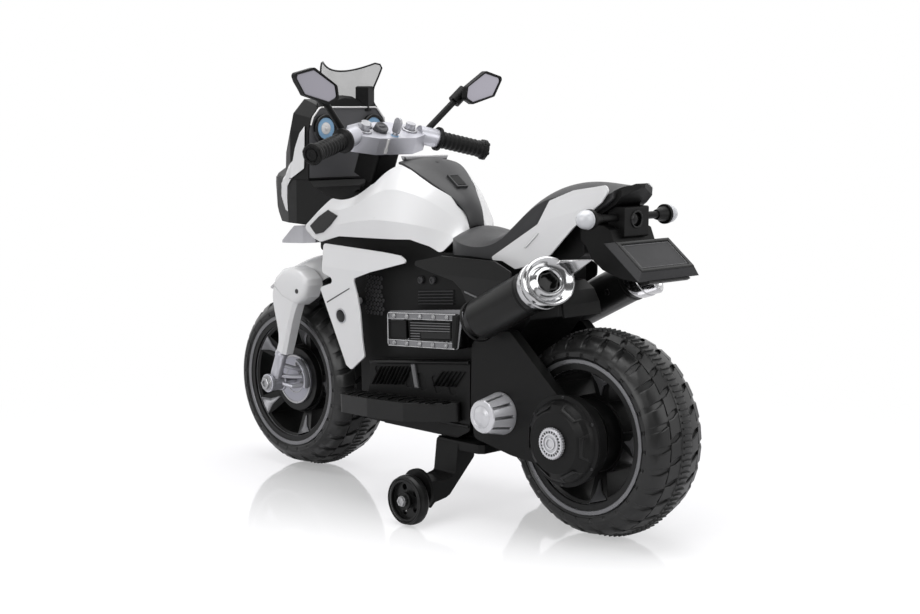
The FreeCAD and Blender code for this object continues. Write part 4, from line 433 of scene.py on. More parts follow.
class Piece:
    """Shapes gathered in the bike's frame and made one mesh that rides a body."""

    def __init__(self, name, slot, finish=None, body="chassis", instead_of=None):
        self.name = name
        self.slot = slot
        self.finish = finish
        self.body = body
        self.instead_of = instead_of
        self.shape = bmesh.new()

    def __enter__(self):
        return self

    def __exit__(self, *fault):
        bmesh.ops.recalc_face_normals(self.shape, faces=self.shape.faces)
        mesh = bpy.data.meshes.new(self.name)
        self.shape.to_mesh(mesh)
        self.shape.free()
        wear(mesh, self.slot, self.finish)
        for face in mesh.polygons:
            face.use_smooth = True
        mesh.set_sharp_from_angle(angle=SHARP_ANGLE)
        made = shown(self.name, mesh)
        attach(made, self.body)
        if self.instead_of:
            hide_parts(self.instead_of)

    def skin(self, rings, hoop=False):
        """Join rings of points into a closed solid; a hoop joins its ends."""
        rows = [[self.shape.verts.new(Vector(point) * MM) for point in ring] for ring in rings]
        for low, high in zip(rows, rows[1:] + (rows[:1] if hoop else [])):
            for here in range(len(low)):
                there = (here + 1) % len(low)
                self.shape.faces.new((low[here], low[there], high[there], high[here]))
        if not hoop:
            self.shape.faces.new(rows[0][::-1])
            self.shape.faces.new(rows[-1])

    def stacked(self, place, levels, hoop=False):
        """Outlines in a frame's X and Y, each at its own height."""
        self.skin([[place @ Vector((x, y, height)) for x, y in points] for points, height in levels], hoop)

    def slab(self, place, outline, depth, chamfer=0.6, start=-SINK):
        """An outline raised along its frame's Z with its top edge broken."""
        edge = inset(outline, chamfer)
        self.stacked(place, [(outline, start), (outline, depth - chamfer), (edge, depth)])

    def border(self, place, outline, width, depth, chamfer=0.4, start=-SINK):
        """A raised border that runs inside an outline."""
        inner = inset(outline, width)
        edges = [(inset(outline, chamfer), depth), (inset(inner, -chamfer), depth)]
        self.stacked(place, [(outline, start), (outline, depth - chamfer), *edges, (inner, depth - chamfer),
                             (inner, start)], hoop=True)

    def bent(self, place, surface, turn, outline, levels, hoop=False):
        """An outline of radii and degrees on a turned surface, in levels."""
        self.skin([[place @ surface(radius, turn + degrees, lift)
                    for radius, degrees in inset(outline, by)] for by, lift in levels], hoop)

    def draped(self, node, outline, lift, chamfer=0.5):
        """An outline in X and Z laid on the outer skin of a CAD node, on both flanks."""
        levels = [(outline, -DRAPE_SINK), (outline, lift - chamfer), (inset(outline, chamfer), lift)]
        for side in SIDES:
            self.skin([[from_side(node, side, x, z) + Vector((0, side * height, 0)) for x, z in points]
                       for points, height in levels])

    def patch(self, node_names, first_edge, second_edge, lift, span, columns=6, steps=5):
        """A sheet over CAD nodes between two edges seen in the photograph, and its right twin."""
        front, inner = [], []
        for start, end in zip(spread(first_edge, steps), spread(second_edge, steps)):
            while (on_skin(start, node_names) - on_skin(end, node_names)).length > span:
                start = start.lerp(end, PATCH_PULL)
            row = [start.lerp(end, step / columns) for step in range(columns + 1)]
            front.append([on_skin(pixel, node_names, lift) for pixel in row])
            inner.append([on_skin(pixel, node_names, -PATCH_SINK) for pixel in row])
        for side in SIDES:
            self.skin([[Vector((p.x, side * p.y, p.z)) for p in top + low[::-1]]
                       for top, low in zip(front, inner)])

    def turned(self, place, profile, steps=40, hoop=False):
        """A profile of radii and heights turned about its frame's Z."""
        self.stacked(place, [(around(radius, steps), height) for radius, height in profile], hoop)

    def ring(self, place, inner, outer, low, high, soft=0.5, steps=56):
        """A flat ring with soft top edges."""
        self.turned(place, [(inner, low), (inner, high - soft), (inner + soft, high), (outer - soft, high),
                            (outer, high - soft), (outer, low)], steps, hoop=True)

    def bolt(self, place, radius, height):
        """A six-sided bolt head on a washer, with a domed top."""
        for shares, steps in ((WASHER_SHARES, 24), (HEAD_SHARES, 6)):
            profile = [(radius * wide, height * tall) for wide, tall in shares]
            self.turned(place, [(profile[0][0], -SINK)] + profile, steps)

    def knurls(self, place, count, section, ends):
        """A ring of ridges: a section of radii and widths between two heights."""
        for turn in angles(count):
            self.stacked(spun(place, turn), [(section, height) for height in ends])

    def bar(self, route, radius, steps=10):
        """A round bar along its points."""
        points = [Vector(point) for point in route]
        across = (points[1] - points[0]).normalized().orthogonal()
        rings = []
        for before, here, after in zip(points[:1] + points[:-1], points, points[1:] + points[-1:]):
            run = (after - before).normalized()
            across = (across - run * across.dot(run)).normalized()
            rise = run.cross(across)
            rings.append([here + across * x + rise * y for x, y in around(radius, steps)])
        self.skin(rings)


def make(name, slot, finish, places, *shapes, body="chassis", instead_of=None):
    """A piece with the same shapes, each a method and its sizes, at each frame or draped node."""
    with Piece(name, slot, finish, body, instead_of) as piece:
        for place in places:
            for method, *sizes in shapes:
                method(piece, place, *sizes)


# Wheels: rings give inner and outer radius, low, high and edge; profiles give radius and height

TYRE_STEPS = 112
TREAD_BLOCKS = 28
TREAD_DEPTH = 8
BLOCK_FLARE = 0.5
BLOCK_EDGE = 1.2
CROWN = ((0, 166), (14, 164.6), (29.9, 161.8), (46.8, 156.8), (58.5, 146.5), (65, 135.8))
TREAD_ROWS = (((12.9, -1.6, 5.3), (23, 0.2, 4.5), (33, 1.8, 5.3)),
              ((34.8, 4.8, 5.2), (46.8, 6.2, 4.5), (55.5, 7, 4.7), (62, 7.4, 4.8), (64.6, 7.8, 4.8)))
CARCASS = ((125.3, 60), (135.6, 64.6), (139.5, 63.6), (147.5, 55.5), (152.3, 46.8), (157.6, 29.9),
           (160.4, 13.2), (164.8, 12.2), (165.6, 9.8))
BEAD = ((124.7, -59), (124.7, 59))
WALL_RING = (129.5, 131.5, 61, 63.4, 0.6, TYRE_STEPS)
TYRE_RIBS = 104
RIB_SECTION = ((165.2, -1.7), (168.3, -1.1), (168.3, 1.1), (165.2, 1.7))
RIB_ENDS = (-9.9, 9.9)


def crown(reach):
    """Radius of the tread at a distance from the wheel's middle."""
    for (near, high), (far, low) in zip(CROWN, CROWN[1:]):
        if reach <= far:
            return high + (low - high) * (reach - near) / (far - near)
    return CROWN[-1][1]


def tread_block(wheel, side, turn, stations):
    """Rings of one waisted block, from the wheel's middle outward."""
    rings = []
    for reach, middle, half in stations:
        top = crown(reach)
        edge = [(half + BLOCK_FLARE, top - TREAD_DEPTH), (half, top - BLOCK_EDGE),
                (half - BLOCK_FLARE, top)]
        section = [(-degrees, radius) for degrees, radius in edge] + edge[::-1]
        rings.append([wheel @ polar(radius, turn + side * (middle + degrees), side * reach)
                      for degrees, radius in section])
    return rings


def make_tyres():
    """Block-tread tyres: carcass, two rows of blocks a side and a ribbed middle band."""
    outside = [*CARCASS, *((radius, -reach) for radius, reach in reversed(CARCASS)), *BEAD]
    for body, axle in WHEELS.items():
        wheel = wheel_face(1, axle)
        with Piece(body + "_tyre", "tyre_black", None, body, body.replace("wheel", "tyre")) as tyre:
            tyre.turned(wheel, outside, TYRE_STEPS, hoop=True)
            for side in SIDES:
                tyre.ring(wheel_face(side, axle), *WALL_RING)
                for step in range(TREAD_BLOCKS):
                    for stations in TREAD_ROWS:
                        tyre.skin(tread_block(wheel, side, step * 360 / TREAD_BLOCKS, stations))
            tyre.knurls(wheel, TYRE_RIBS, RIB_SECTION, RIB_ENDS)


SPOKES = 5
SPOKE_START = 36
SPOKE_TIP = ((106, -10), (106, 10), (90, 4), (71, 0.8), (71, -0.8), (90, -4))
TIP_LEVELS = ((0, -0.4), (0, 2), (0.8, 3.2))
WEB_RADIUS = 60
WEB_REACH = 30
RIM_STEPS = 96
LIP_RING = (117.5, 125.2, 59.4, 62.2, 1, RIM_STEPS)
WEB_RING = (107.6, 109.6, 53.5, 55.6, 0.6, RIM_STEPS)


def trim_rims():
    """Grey lip rings and the raised triangular tips of the spokes."""
    def on_web(radius, degrees, lift):
        return polar(radius, degrees, WEB_REACH + (radius - WEB_RADIUS) / 2 + lift)

    for body, axle in WHEELS.items():
        with Piece(body + "_rim_trim", "silver", "rim_grey", body) as trim:
            for face in both(wheel_face, axle):
                trim.ring(face, *LIP_RING)
                trim.ring(face, *WEB_RING)
                for spoke in range(SPOKES):
                    trim.bent(face, on_web, SPOKE_START + spoke * 360 / SPOKES, SPOKE_TIP, TIP_LEVELS)


LEG_REACH = 97
LEG_PROFILE = ((8, 2), (10.4, 10), (11.2, 22), (11.2, 56), (12.4, 58), (12.4, 64), (11, 66), (11, 100))
AXLE_EYES = ((6.4, 17, 79, 84, 1.2), (6.4, 15.4, 82, 112, 0.5), (6.4, 17, 108, 115, 1.2))
JAW_RADII = (46, 29)
JAW_SWEEP = range(92, 173, 10)
JAW_FACE = 50.4
JAW_DEPTH = 9
JAW_RIM_FACE = 59
JAW_RIM = (4, 2.4, 0.9)
JAW_ARMS = (((-20, 34, 58), (-16, 38, 78), (-4, 40, 94)), ((-38, 10, 58), (-30, 5, 78), (-6, 2, 90)),
            ((-30, 24, 60), (-20, 20, 76), (-4, 16, 92)))
JAW_ARM_RADIUS = 4.2
JAW_BOLTS = (102, 132, 162)
JAW_BOLT_CIRCLE = 37.5
JAW_BOLT_FACE = 59.2
JAW_BOLT = (3.2, 4.4)
NUT_WASHER = (7, 14.5, 114.5, 116.8, 0.8)
NUT_PROFILE = ((11.5, 116), (11.5, 120), (10, 121.4), (6.4, 121.4), (6.4, 119.2))
DISC_RINGS = ((Piece.ring, 43, 46.8, 47.6, 48.9, 0.4), (Piece.ring, 24, 26, 47.6, 48.7, 0.4))


def make_fork_feet():
    """Leg ends, axle eyes and slim calipers on brackets, with axle nuts and bolts."""
    outer, inner = JAW_RADII
    jaw = [polar(outer, degrees).xy for degrees in JAW_SWEEP]
    jaw += [polar(inner, degrees).xy for degrees in reversed(JAW_SWEEP)]
    with Piece("fork_feet", "silver", "clamp_silver", "steering", "fork_legs") as feet:
        for side in SIDES:
            feet.turned(at(FORK, y=side * LEG_REACH), LEG_PROFILE)
            for sizes in AXLE_EYES:
                feet.ring(wheel_face(side, AXLE_X), *sizes)
            feet.slab(fork_face(side, JAW_FACE), jaw, JAW_DEPTH, chamfer=2.0, start=0)
            feet.border(fork_face(side, JAW_RIM_FACE), jaw, *JAW_RIM)
            for route in JAW_ARMS:
                feet.bar([fork_face(side, 0) @ Vector(point) for point in route], JAW_ARM_RADIUS)
    with Piece("axle_nuts", "steel", body="steering") as nuts:
        for side in SIDES:
            face = wheel_face(side, AXLE_X)
            nuts.ring(face, *NUT_WASHER)
            nuts.turned(face, NUT_PROFILE, 6)
            for degrees in JAW_BOLTS:
                nuts.bolt(at(fork_face(side, JAW_BOLT_FACE), *polar(JAW_BOLT_CIRCLE, degrees)), *JAW_BOLT)
    make("disc_edges", "steel", None, both(wheel_face, AXLE_X), *DISC_RINGS, body="front_wheel")


HUB_PANELS = 6
HUB_PANEL = ((65.5, -21), (65.5, 21), (54.5, 16), (54.5, -16))
PANEL_LEVELS = ((0, -0.6), (0, 0.9), (0.7, 1.4), (2.4, 1.4), (3.1, 0.9), (3.1, -0.6))
DOME_TOP = (64.2, 110.2, 1.29)
DOME_SKIRT = (66.4, 103.4, 3.1)
HUB_SCREWS = (69.6, HUB_PANELS, 102, 30)
HUB_SCREW = ((2.6, 0), (2.6, 1.4), (1.8, 2.2), (0.9, 2.2), (0.9, 1.2))
KNURLS = 36
KNURL_SECTION = ((23.5, -1.4), (25.2, -0.7), (25.2, 0.7), (23.5, 1.4))
KNURL_ENDS = (125.8, 130.8)
CAP_RINGS = ((20.5, 23, 131, 132.4), (13.2, 16.2, 131, 133.2), (7, 9.5, 131, 133.6))
PIVOT = (-227, 192)
KNOB_REACH = 139.4
KNOB_PROFILE = ((26.4, -1.5), (27.2, 0.6), (26, 2.6), (19, 4), (17.6, 3.2), (16, 3.6), (12, 6.2), (6, 7.2))
DIMPLES = (18.4, 22, 131)
DIMPLE = ((1.7, -0.3), (1.7, 0.5), (1.1, 0.9))


def dress_rear_hubs():
    """Panels, flange screws, knurled caps and stepped knobs of the rear drive."""
    def on_dome(radius, degrees, lift):
        edge, reach, slope = DOME_TOP if radius < DOME_TOP[0] else DOME_SKIRT
        return polar(radius, degrees, reach + (edge - radius) * slope + lift)

    hubs = both(wheel_face, -AXLE_X)
    with Piece("hub_panels", "wheel_black") as panels:
        for hub in hubs:
            for step in range(HUB_PANELS):
                panels.bent(hub, on_dome, step * 360 / HUB_PANELS, HUB_PANEL, PANEL_LEVELS, hoop=True)
    make("hub_screws", *STRIP, circle(hubs, *HUB_SCREWS), (Piece.turned, HUB_SCREW, 16))
    with Piece("hub_caps_knurled", "silver", "knob_silver") as caps:
        for hub, pivot in zip(hubs, both(wheel_face, *PIVOT)):
            caps.knurls(hub, KNURLS, KNURL_SECTION, KNURL_ENDS)
            for sizes in CAP_RINGS:
                caps.ring(hub, *sizes)
            caps.turned(at(pivot, z=KNOB_REACH), KNOB_PROFILE)
    make("hub_cap_dimples", "dark_grey", "satin_black", circle(hubs, *DIMPLES), (Piece.turned, DIMPLE, 10))


STABILISERS = ("stabiliser_left", "stabiliser_right")
SMALL_AXLE = (-105, 42)
SMALL_RINGS = ((Piece.ring, 36.5, 39.5, 198.6, 200.6, 0.7), (Piece.ring, 12.5, 15, 198.6, 201, 0.7))
SMALL_NUT = ((8.4, 204.8), (8.4, 208), (7.2, 209.2), (4.6, 209.2), (4.6, 208))


def dress_stabilisers():
    """Rings on the small wheels and lock nuts on their bolts."""
    faces = both(wheel_face, *SMALL_AXLE)
    for face, body in zip(faces, STABILISERS):
        make(body + "_rings", "wheel_black", "cover_black", [face], *SMALL_RINGS, body=body)
    make("stabiliser_nuts", "steel", None, faces, (Piece.turned, SMALL_NUT, 6))


# Flanks: outlines give X and Z

ENGINE_FACE = 116
ENGINE_TOP = ((22, 335.5), (-142, 347.5))
ENGINE_FOOT = ((21, 279), (-140, 289.5))
ENGINE_SQUARE = ((22, 322), (-22, 326), (-23, 294), (22, 289))
ENGINE_FIELD = ((-28, 327), (-131, 335), (-131, 302), (-30, 293))
ENGINE_NOSE = ((24.4, 331), (21.6, 336.2), (20.4, 278.4), (23.4, 283))
ENGINE_HEEL = ((-133, 346), (-150, 348), (-143, 291), (-133, 290))
ENGINE_SIGN = ((-59, 310), (-128.5, 316), (-128.5, 305), (-59, 298.5))
STRIP_WIDE = 10.5
EDGE_BANDS = ((-0.8, 1.4, 3.8, 0.7), (9, 10.9, 3.2, 0.6))
STRIP_BOLTS = 5
BOLT_SHARES = (0.09, 0.197)
BOLT_LIFT = 5.2
BOLT_FACE = 3
STRIP_BOLT = (3.0, 2.6)
FIELD_SHAPES = ((Piece.slab, 0.6, 0.2), (Piece.border, 2.2, 2.6, 0.8))
ENGINE_RIBS = 7
LONG_RIBS = 4
RIB_SHARES = (0.03, 0.97, 0.26)
RIB_WIDE = 1.7
RIB_MARGIN = 0.7
RIB_SPARE = 0.4


def dress_engine_covers():
    """Strips with bolts, ribbed dark fields and a bare sign plate on both engine covers."""
    faces = both(flank, ENGINE_FACE)
    strip_ways = ((ENGINE_TOP, -1), (ENGINE_FOOT, 1))
    make("engine_strips", "chrome", "dark_chrome", faces,
         *((Piece.slab, band(ends, 0, way * STRIP_WIDE), 2.4, 1) for ends, way in strip_ways))
    with Piece("engine_edges", "chrome") as edges:
        for face in faces:
            for ends, way in strip_ways:
                for low, high, *relief in EDGE_BANDS:
                    edges.slab(face, band(ends, way * low, way * high), *relief)
            edges.slab(face, ENGINE_NOSE, 3.8, chamfer=0.8)
    with Piece("engine_bolts", "steel") as bolts:
        first, pitch = BOLT_SHARES
        for face in faces:
            for step in range(STRIP_BOLTS):
                for ends, way in strip_ways:
                    x, z = along(ends, first + pitch * step, way * BOLT_LIFT)
                    bolts.bolt(at(face, x, z, BOLT_FACE), *STRIP_BOLT)
    fields = [(method, outline, *sizes) for outline in (ENGINE_SQUARE, ENGINE_FIELD)
              for method, *sizes in FIELD_SHAPES]
    make("engine_fields", *SATIN, faces, *fields, (Piece.slab, ENGINE_HEEL, 4.4, 3.2))
    with Piece("engine_ribs", *RIB) as ribs:
        near_top, far_top, far_foot, near_foot = ENGINE_FIELD
        first, long, short = RIB_SHARES
        for face in faces:
            for step in range(ENGINE_RIBS):
                share = (step + RIB_MARGIN) / (ENGINE_RIBS + RIB_SPARE)
                ends = (along((near_top, near_foot), share), along((far_top, far_foot), share))
                ends = (along(ends, first), along(ends, long if step < LONG_RIBS else short))
                ribs.slab(face, band(ends, 0, -RIB_WIDE), 2.0, chamfer=0.5)
    make("engine_sign_plates", *GLOSS, faces, (Piece.slab, ENGINE_SIGN, 1.8))


BELLY_FACE = 92
LOUVRE = ((0, 0), (22, 0), (26.5, 0.6), (4.5, 0.6))
LOUVRE_ROWS = ((9, (94, 199, 233), (-9.6, 1.1, 1.15)), (6, (-62, 215.5, 243), (-10.2, 0.9, 1.1)))
SHELF_LIP = ((97, 241), (-149, 268))
SHELF_FOOT = ((103, 160), (-148, 160), (-148, 155), (104, 155))
FLANK_BAR = ((-9, 247), (-18, 248), (-28, 207), (-19, 206))
CORE_FACE = 68
CELL_ROWS = 9
CELL_COLUMNS = 6
CELL_START = (140, 322)
CELL_PITCH = (9, 7.8)
CELL_REAR = 88
CELL_LEANS = (0.1, 0.2)
CELL = ((4, -0.4), (4, 0.9), (3.2, 1.6), (2.2, 1.6), (2, 0.6))
SLATS = 5
SLAT = ((-2, 371), (-88, 379))
SLAT_PITCH = 5.4
SLAT_WIDE = 2.6
SLAT_KNOBS = ((-8.5, 390), (-38, 392))
SLAT_KNOB = ((6.5, -0.4), (6.5, 4.5), (5.4, 5.6), (3.4, 5.6), (3, 4.2))


def rib_flanks():
    """Louvres, shelf lips, honeycomb and slats on the sides of the body shells."""
    bellies = both(flank, BELLY_FACE)
    cores = both(flank, CORE_FACE)
    with Piece("flank_louvres", "satin_black", "cover_black") as louvres:
        for face in bellies:
            for count, start, pitch in LOUVRE_ROWS:
                for step in range(count):
                    x, low, high = (first + gap * step for first, gap in zip(start, pitch))
                    feet = (low, high, high, low)
                    louvres.slab(face, [(x - run, foot + rise) for (run, rise), foot in zip(LOUVRE, feet)],
                                 4.2, chamfer=1.8)
            louvres.slab(face, band(SHELF_LIP, -5.5, 0.5), 5.5, chamfer=2.2)
            louvres.slab(face, SHELF_FOOT, 3.0, chamfer=1.2)
    make("flank_bars", *RIB, bellies, (Piece.slab, FLANK_BAR, 5, 2))
    with Piece("flank_honeycomb", *STRIP) as cells:
        front, foot = CELL_START
        rear_lean, front_lean = CELL_LEANS
        for face in cores:
            for row in range(CELL_ROWS):
                rise = CELL_PITCH[1] * row
                for column in range(CELL_COLUMNS):
                    x = front - CELL_PITCH[0] * (column + row % 2 / 2)
                    if CELL_REAR < x - rise * rear_lean < front - rise * front_lean:
                        cells.turned(at(face, x, foot + rise), CELL, 6)
    with Piece("flank_slats", *STRIP) as slats:
        for face in cores:
            for step in range(SLATS):
                drop = SLAT_PITCH * step
                slats.slab(face, band(SLAT, -SLAT_WIDE - drop, -drop), 3.6, chamfer=0.9)
            for x, z in SLAT_KNOBS:
                slats.turned(at(face, x, z), SLAT_KNOB, 24)


# Painted shade: a thin dark strip where the shroud's crease falls into shade
SHROUD_SHADE_LINE = ((196, 335.2), (163, 350.8), (131, 366), (131, 368), (163, 353), (196, 337.6))
ROUNDEL = (160, 315)
ROUNDEL_RING = (11.4, 13.4, -2, 1.3, 0.5)
ROUNDEL_DISC = ((11.6, -2), (11.6, 0.4), (10.8, 0.7), (4, 1.2))
BADGE = ((252, 470), (226, 488), (197, 502), (166, 493), (188, 474), (210, 461), (234, 456))
COVER_BAR = ((-150, 386.5), (-182, 378.5), (-182, 375.5), (-150, 383.5))
TAIL_BAR = ((-285, 487), (-261, 463), (-257, 463), (-281, 487))
GUARD_FACE = 115.4
GUARD_SPOT = (-17, 203)
GUARD_SCREW = ((4.2, -0.8), (4.2, 0.8), (3.4, 1.4), (1.8, 1.4), (1.6, 0.4))


def dress_shrouds():
    """Painted crease shade and bare roundel places on the white legs, badge plates on the tank tips."""
    roundel_seats = both(seat, "side_shrouds", *ROUNDEL)
    # Painted shade: dark grey strip draped along the crease line on both shrouds
    make("shroud_crease_shade", *STRIP, ["side_shrouds"], (Piece.draped, SHROUD_SHADE_LINE, 0.5, 0.2))
    make("shroud_roundels", "silver", None, roundel_seats, (Piece.ring, *ROUNDEL_RING))
    make("shroud_discs", *GLOSS, roundel_seats, (Piece.turned, ROUNDEL_DISC))
    make("badge_plates", *GLOSS, ["tank_panels"], (Piece.draped, BADGE, 2.4, 1))
    make("cover_bars", *RIB, ["side_covers"], (Piece.draped, COVER_BAR, 1.6))
    make("tail_bars", *PAINT, ["tail_panels"], (Piece.draped, TAIL_BAR, 1.6))
    make("guard_screws", *STRIP, [at(face, *GUARD_SPOT) for face in both(fork_face, GUARD_FACE)],
         (Piece.turned, GUARD_SCREW, 20), body="steering")


GRIP_BARS = 9
GRIP_START = -108
GRIP_PITCH = 26
GRIP_BAR = ((0, 100), (9, 122), (0, 144), (6, 144), (15, 122), (6, 100))
PEDAL_REAR = -12


def grip_footboards():
    """Raised angular bars on both footboards, clear of the pedal on the right."""
    with Piece("footboard_grips", "satin_black") as grips:
        for side in SIDES:
            for step in range(GRIP_BARS):
                x = GRIP_START + GRIP_PITCH * step
                if side > 0 or x <= PEDAL_REAR:
                    grips.slab(BOARD, [(x + run, side * y) for run, y in GRIP_BAR], 1.6, chamfer=0.5)


# Exhausts and tail

CAP_STEPS = 64
CAP_LEVELS = ((34.2, 34.2, 157, 0), (36.4, 36.4, 160.6, 0), (38, 38, 169, 5), (38.6, 39, 177, 10),
              (37.2, 37.8, 178, 10), (37.4, 38.2, 181.5, 12), (38.8, 40.4, 194, 22), (38, 39.6, 197.5, 24),
              (35.6, 37.2, 198.6, 24), (33, 34.6, 197, 24), (30, 31.4, 192, 24), (26, 27.2, 190.5, 24),
              (23.6, 24.6, 192, 24), (22.4, 23.2, 196.5, 24), (20.6, 21.2, 198, 24), (18, 18.4, 197.4, 24),
              (16.6, 16.8, 194, 24), (16, 16.2, 180, 24))
FIN_LEVELS = ((0, 182), (0.35, 211), (0.7, 238), (0.93, 257), (1, 263))
FIN_HALF = 36
FIN_TIP_HALF = 1
FIN_MIDDLE = 150
FIN_TWIST = 20
FIN_ROOT = 38
FIN_DEPTH = 6
FIN_TAPER = 0.12
FIN_RADII = (38.6, 39.4)
FIN_INNER = 0.9
FIN_HOLLOW = 0.5
HOLE_TILT = 24
HOLE_STEPS = 48
HOLE_RADIUS = 15.2
HOLE_LOBES = 6
HOLE_WAVE = 1.1
HOLE_LEVELS = ((194.6, 1), (194.6, 0.86), (191.6, 0.8), (181.6, 0.76), (181.6, 1))
HOLE_FLOOR = ((181.6, 0.9), (182.6, 0.9))
CAN_SEAMS = (22, 148)
CAN_SEAM_HALF = 2.4
CAN_SEAM_RADII = (33, 34.8)
CAN_SCREWS = (60, 118)
CAN_SPOT = (33.2, -6)
CAN_SCREW = ((5.2, -1), (5.2, 1.6), (4, 2.4), (2.4, 2.4), (2, 1.2))


def cap_point(side, turn, wide, tall, height, tilt):
    """A point of an exhaust cap, whose end looks a little outward."""
    outward = wide * cos(turn)
    return can_axis(side) @ Vector((side * outward, tall * sin(turn), height - outward * tan(radians(tilt))))


def fin_ring(side, share, height):
    """One section of the pointed fin, from its root on the cap to its tip."""
    half = FIN_HALF * (1 - share) + FIN_TIP_HALF
    middle = FIN_MIDDLE + FIN_TWIST * share
    root = FIN_ROOT - FIN_DEPTH * (1 - share)
    narrow = 1 - FIN_TAPER * share
    rim, ridge = FIN_RADII
    inner = half * FIN_INNER
    edge = [(rim, -half), (ridge, 0), (rim, half), (root, inner), (root - FIN_HOLLOW, 0), (root, -inner)]
    return [cap_point(side, radians(middle + turn), radius * narrow, radius * narrow, height, 0)
            for radius, turn in edge]


def make_exhausts():
    """Slanted caps with a stepped mouth and a pointed fin, seams and screws on the cans."""
    with Piece("exhaust_caps", "chrome", instead_of="muffler_caps") as caps:
        for side in SIDES:
            caps.skin([[cap_point(side, turn, *level) for turn in angles(CAP_STEPS)]
                       for level in CAP_LEVELS])
            caps.skin([fin_ring(side, share, height) for share, height in FIN_LEVELS])
    with Piece("exhaust_holes", *GLOSS) as holes:
        lobes = [(turn, HOLE_RADIUS + HOLE_WAVE * cos(HOLE_LOBES * turn)) for turn in angles(HOLE_STEPS)]
        for side in SIDES:
            for levels, hoop in ((HOLE_LEVELS, True), (HOLE_FLOOR, False)):
                holes.skin([[cap_point(side, turn, reach * share, reach * share, level, HOLE_TILT)
                             for turn, reach in lobes] for level, share in levels], hoop)
    with Piece("exhaust_seams", "satin_black") as seams:
        out, up = CAN_SPOT
        for side in SIDES:
            can = can_axis(side)
            for height in CAN_SEAMS:
                seams.ring(can, *CAN_SEAM_RADII, height - CAN_SEAM_HALF, height + CAN_SEAM_HALF, soft=0.8)
            for height in CAN_SCREWS:
                screw = spun(at(can, -side * out, up, height), -side * pi / 2, "Y")
                seams.turned(screw, CAN_SCREW, 24)


PLATE_RIM = ((-10.4, -64.4), (-77.6, -64.4), (-77.6, 64.4), (-10.4, 64.4))
PLATE_FACE = 9.6
TAIL_LAMP = rearward(-423.5, 0, 514)
TAIL_LENS = ((11.4, -6), (11.4, -4.5), (8.5, -2.6), (4, -1.8))
SIGNAL_POD = (-406, 517)
SIGNAL_LAMP = ((12.6, 93.2), (14.4, 94.4), (15.2, 97), (15.2, 99), (14.6, 99.6), (14.9, 101.5),
               (14.2, 105.5), (12.4, 110), (9.4, 114), (5.2, 116.8), (1.6, 117.8))
SIGNAL_COLLAR = (11, 16, 89.5, 95.6, 1.4)


def dress_tail():
    """Plate border, lamp lens and lamp collars of the tail."""
    pods = both(wheel_face, *SIGNAL_POD)
    make("plate_border", "dark_grey", "gloss_black", [PLATE],
         (Piece.border, PLATE_RIM, 6.5, 12.6, 1.4, PLATE_FACE))
    make("plate_line", *RIB, [PLATE],
         (Piece.border, inset(PLATE_RIM, 8.2), 1.3, 11, 0.4, PLATE_FACE))
    make("tail_lamp", "smoked", "gloss_black", [TAIL_LAMP], (Piece.ring, 11, 14.5, -0.5, 1.6, 0.6),
         (Piece.turned, TAIL_LENS, 32))
    make("signal_lamps", "clear", "lamp_clear", pods, (Piece.turned, SIGNAL_LAMP, 36),
         instead_of="signal_lenses")
    make("signal_collars", *SATIN, pods, (Piece.ring, *SIGNAL_COLLAR))


# Tank and cockpit

TANK_FRONT = rearward(56)
TANK_TRIM = ((-54, 600), (54, 600), (50, 592.5), (-50, 592.5))
GAUGE = (58, 645)
BEZEL_RING = (19.5, 25.5, -4, 2.6, 1.2)
BLUE_RING = (11, 19.6, -4, 0.9, 0.3)
GAUGE_FACE = ((11, -4), (11, 0.8), (10, 1.3), (3, 1.3), (2.4, 3.2), (1.2, 3.6))
BORDER_X = 263
BORDER_HALF = 90
BORDER_STEP = 5
BORDER_RADIUS = 1.7
BORDER_LIFT = Vector((-2.4, 0, 0.4))
OVERHEAD = 900
HUMP = ((-60, 674), (-52, 688), (-34, 699), (-8, 705), (14, 703), (36, 694), (60, 686), (72, 674))
POD = ((272, -27), (258, -46), (266, -68), (280, -50))
POD_FOOT = 676
POD_TOP = 722


def dress_cockpit():
    """Chrome tank trim, gauges with blue rings, a pale border, a hump and a dark pod."""
    make("tank_trim", "chrome", None, [TANK_FRONT], (Piece.slab, TANK_TRIM, 5, 1.6, -4))
    across, up = GAUGE
    gauges = [at(DASH, -side * across, up) for side in SIDES]
    make("gauge_bezels", *GLOSS, gauges, (Piece.ring, *BEZEL_RING))
    make("gauge_rings", "clear", "gauge_blue", gauges, (Piece.ring, *BLUE_RING))
    make("gauge_faces", "clear", "gauge_white", gauges, (Piece.turned, GAUGE_FACE))
    with Piece("dash_border", "silver", "gauge_white") as border:
        places = range(BORDER_HALF, -BORDER_HALF - 1, -BORDER_STEP)
        border.bar([meet("dash_panel", (BORDER_X, y, OVERHEAD), (0, 0, -1)) + BORDER_LIFT
                    for y in places], BORDER_RADIUS)
    make("cowl_hump", *SATIN, [DASH], (Piece.slab, HUMP, -6, 5, -38))
    make("dash_pod", *SATIN, [Matrix.Identity(4)], (Piece.slab, POD, POD_TOP, 2, POD_FOOT))


BUTTON = (-17.5, 55)
BUTTON_RING = (9.9, 14.5, -0.4, 3.2, 1)
THIRD_BUTTON = (4, 34)
THIRD_PROFILE = ((13, -0.4), (13, 2.6), (11.6, 3.8), (10, 3.8), (9.6, 8), (8.4, 9.2), (4, 9.2))
LOCK = (-17, 17)
LOCK_LEAN = radians(-22)
LOCK_PROFILE = ((12.6, -4), (12.6, 10), (11.4, 11.4), (9, 11.4), (8.4, 10.6), (4, 10.6))
LOCK_FACE = 10.6
LOCK_SLOT = ((-1.4, -7), (1.4, -7), (1.4, 7), (-1.4, 7))
KEY_PLACE = (-40.3, 0)
KEY_RING = (5.4, 7.4, -0.4, 1.4, 0.5)
KEY_CORD = (-51.5, 24, 517)
HANGING_KEY = ((-3, 0), (3, 0), (2.2, -16), (4.2, -23), (3, -29), (-3, -29), (-4.2, -23), (-2.2, -16))


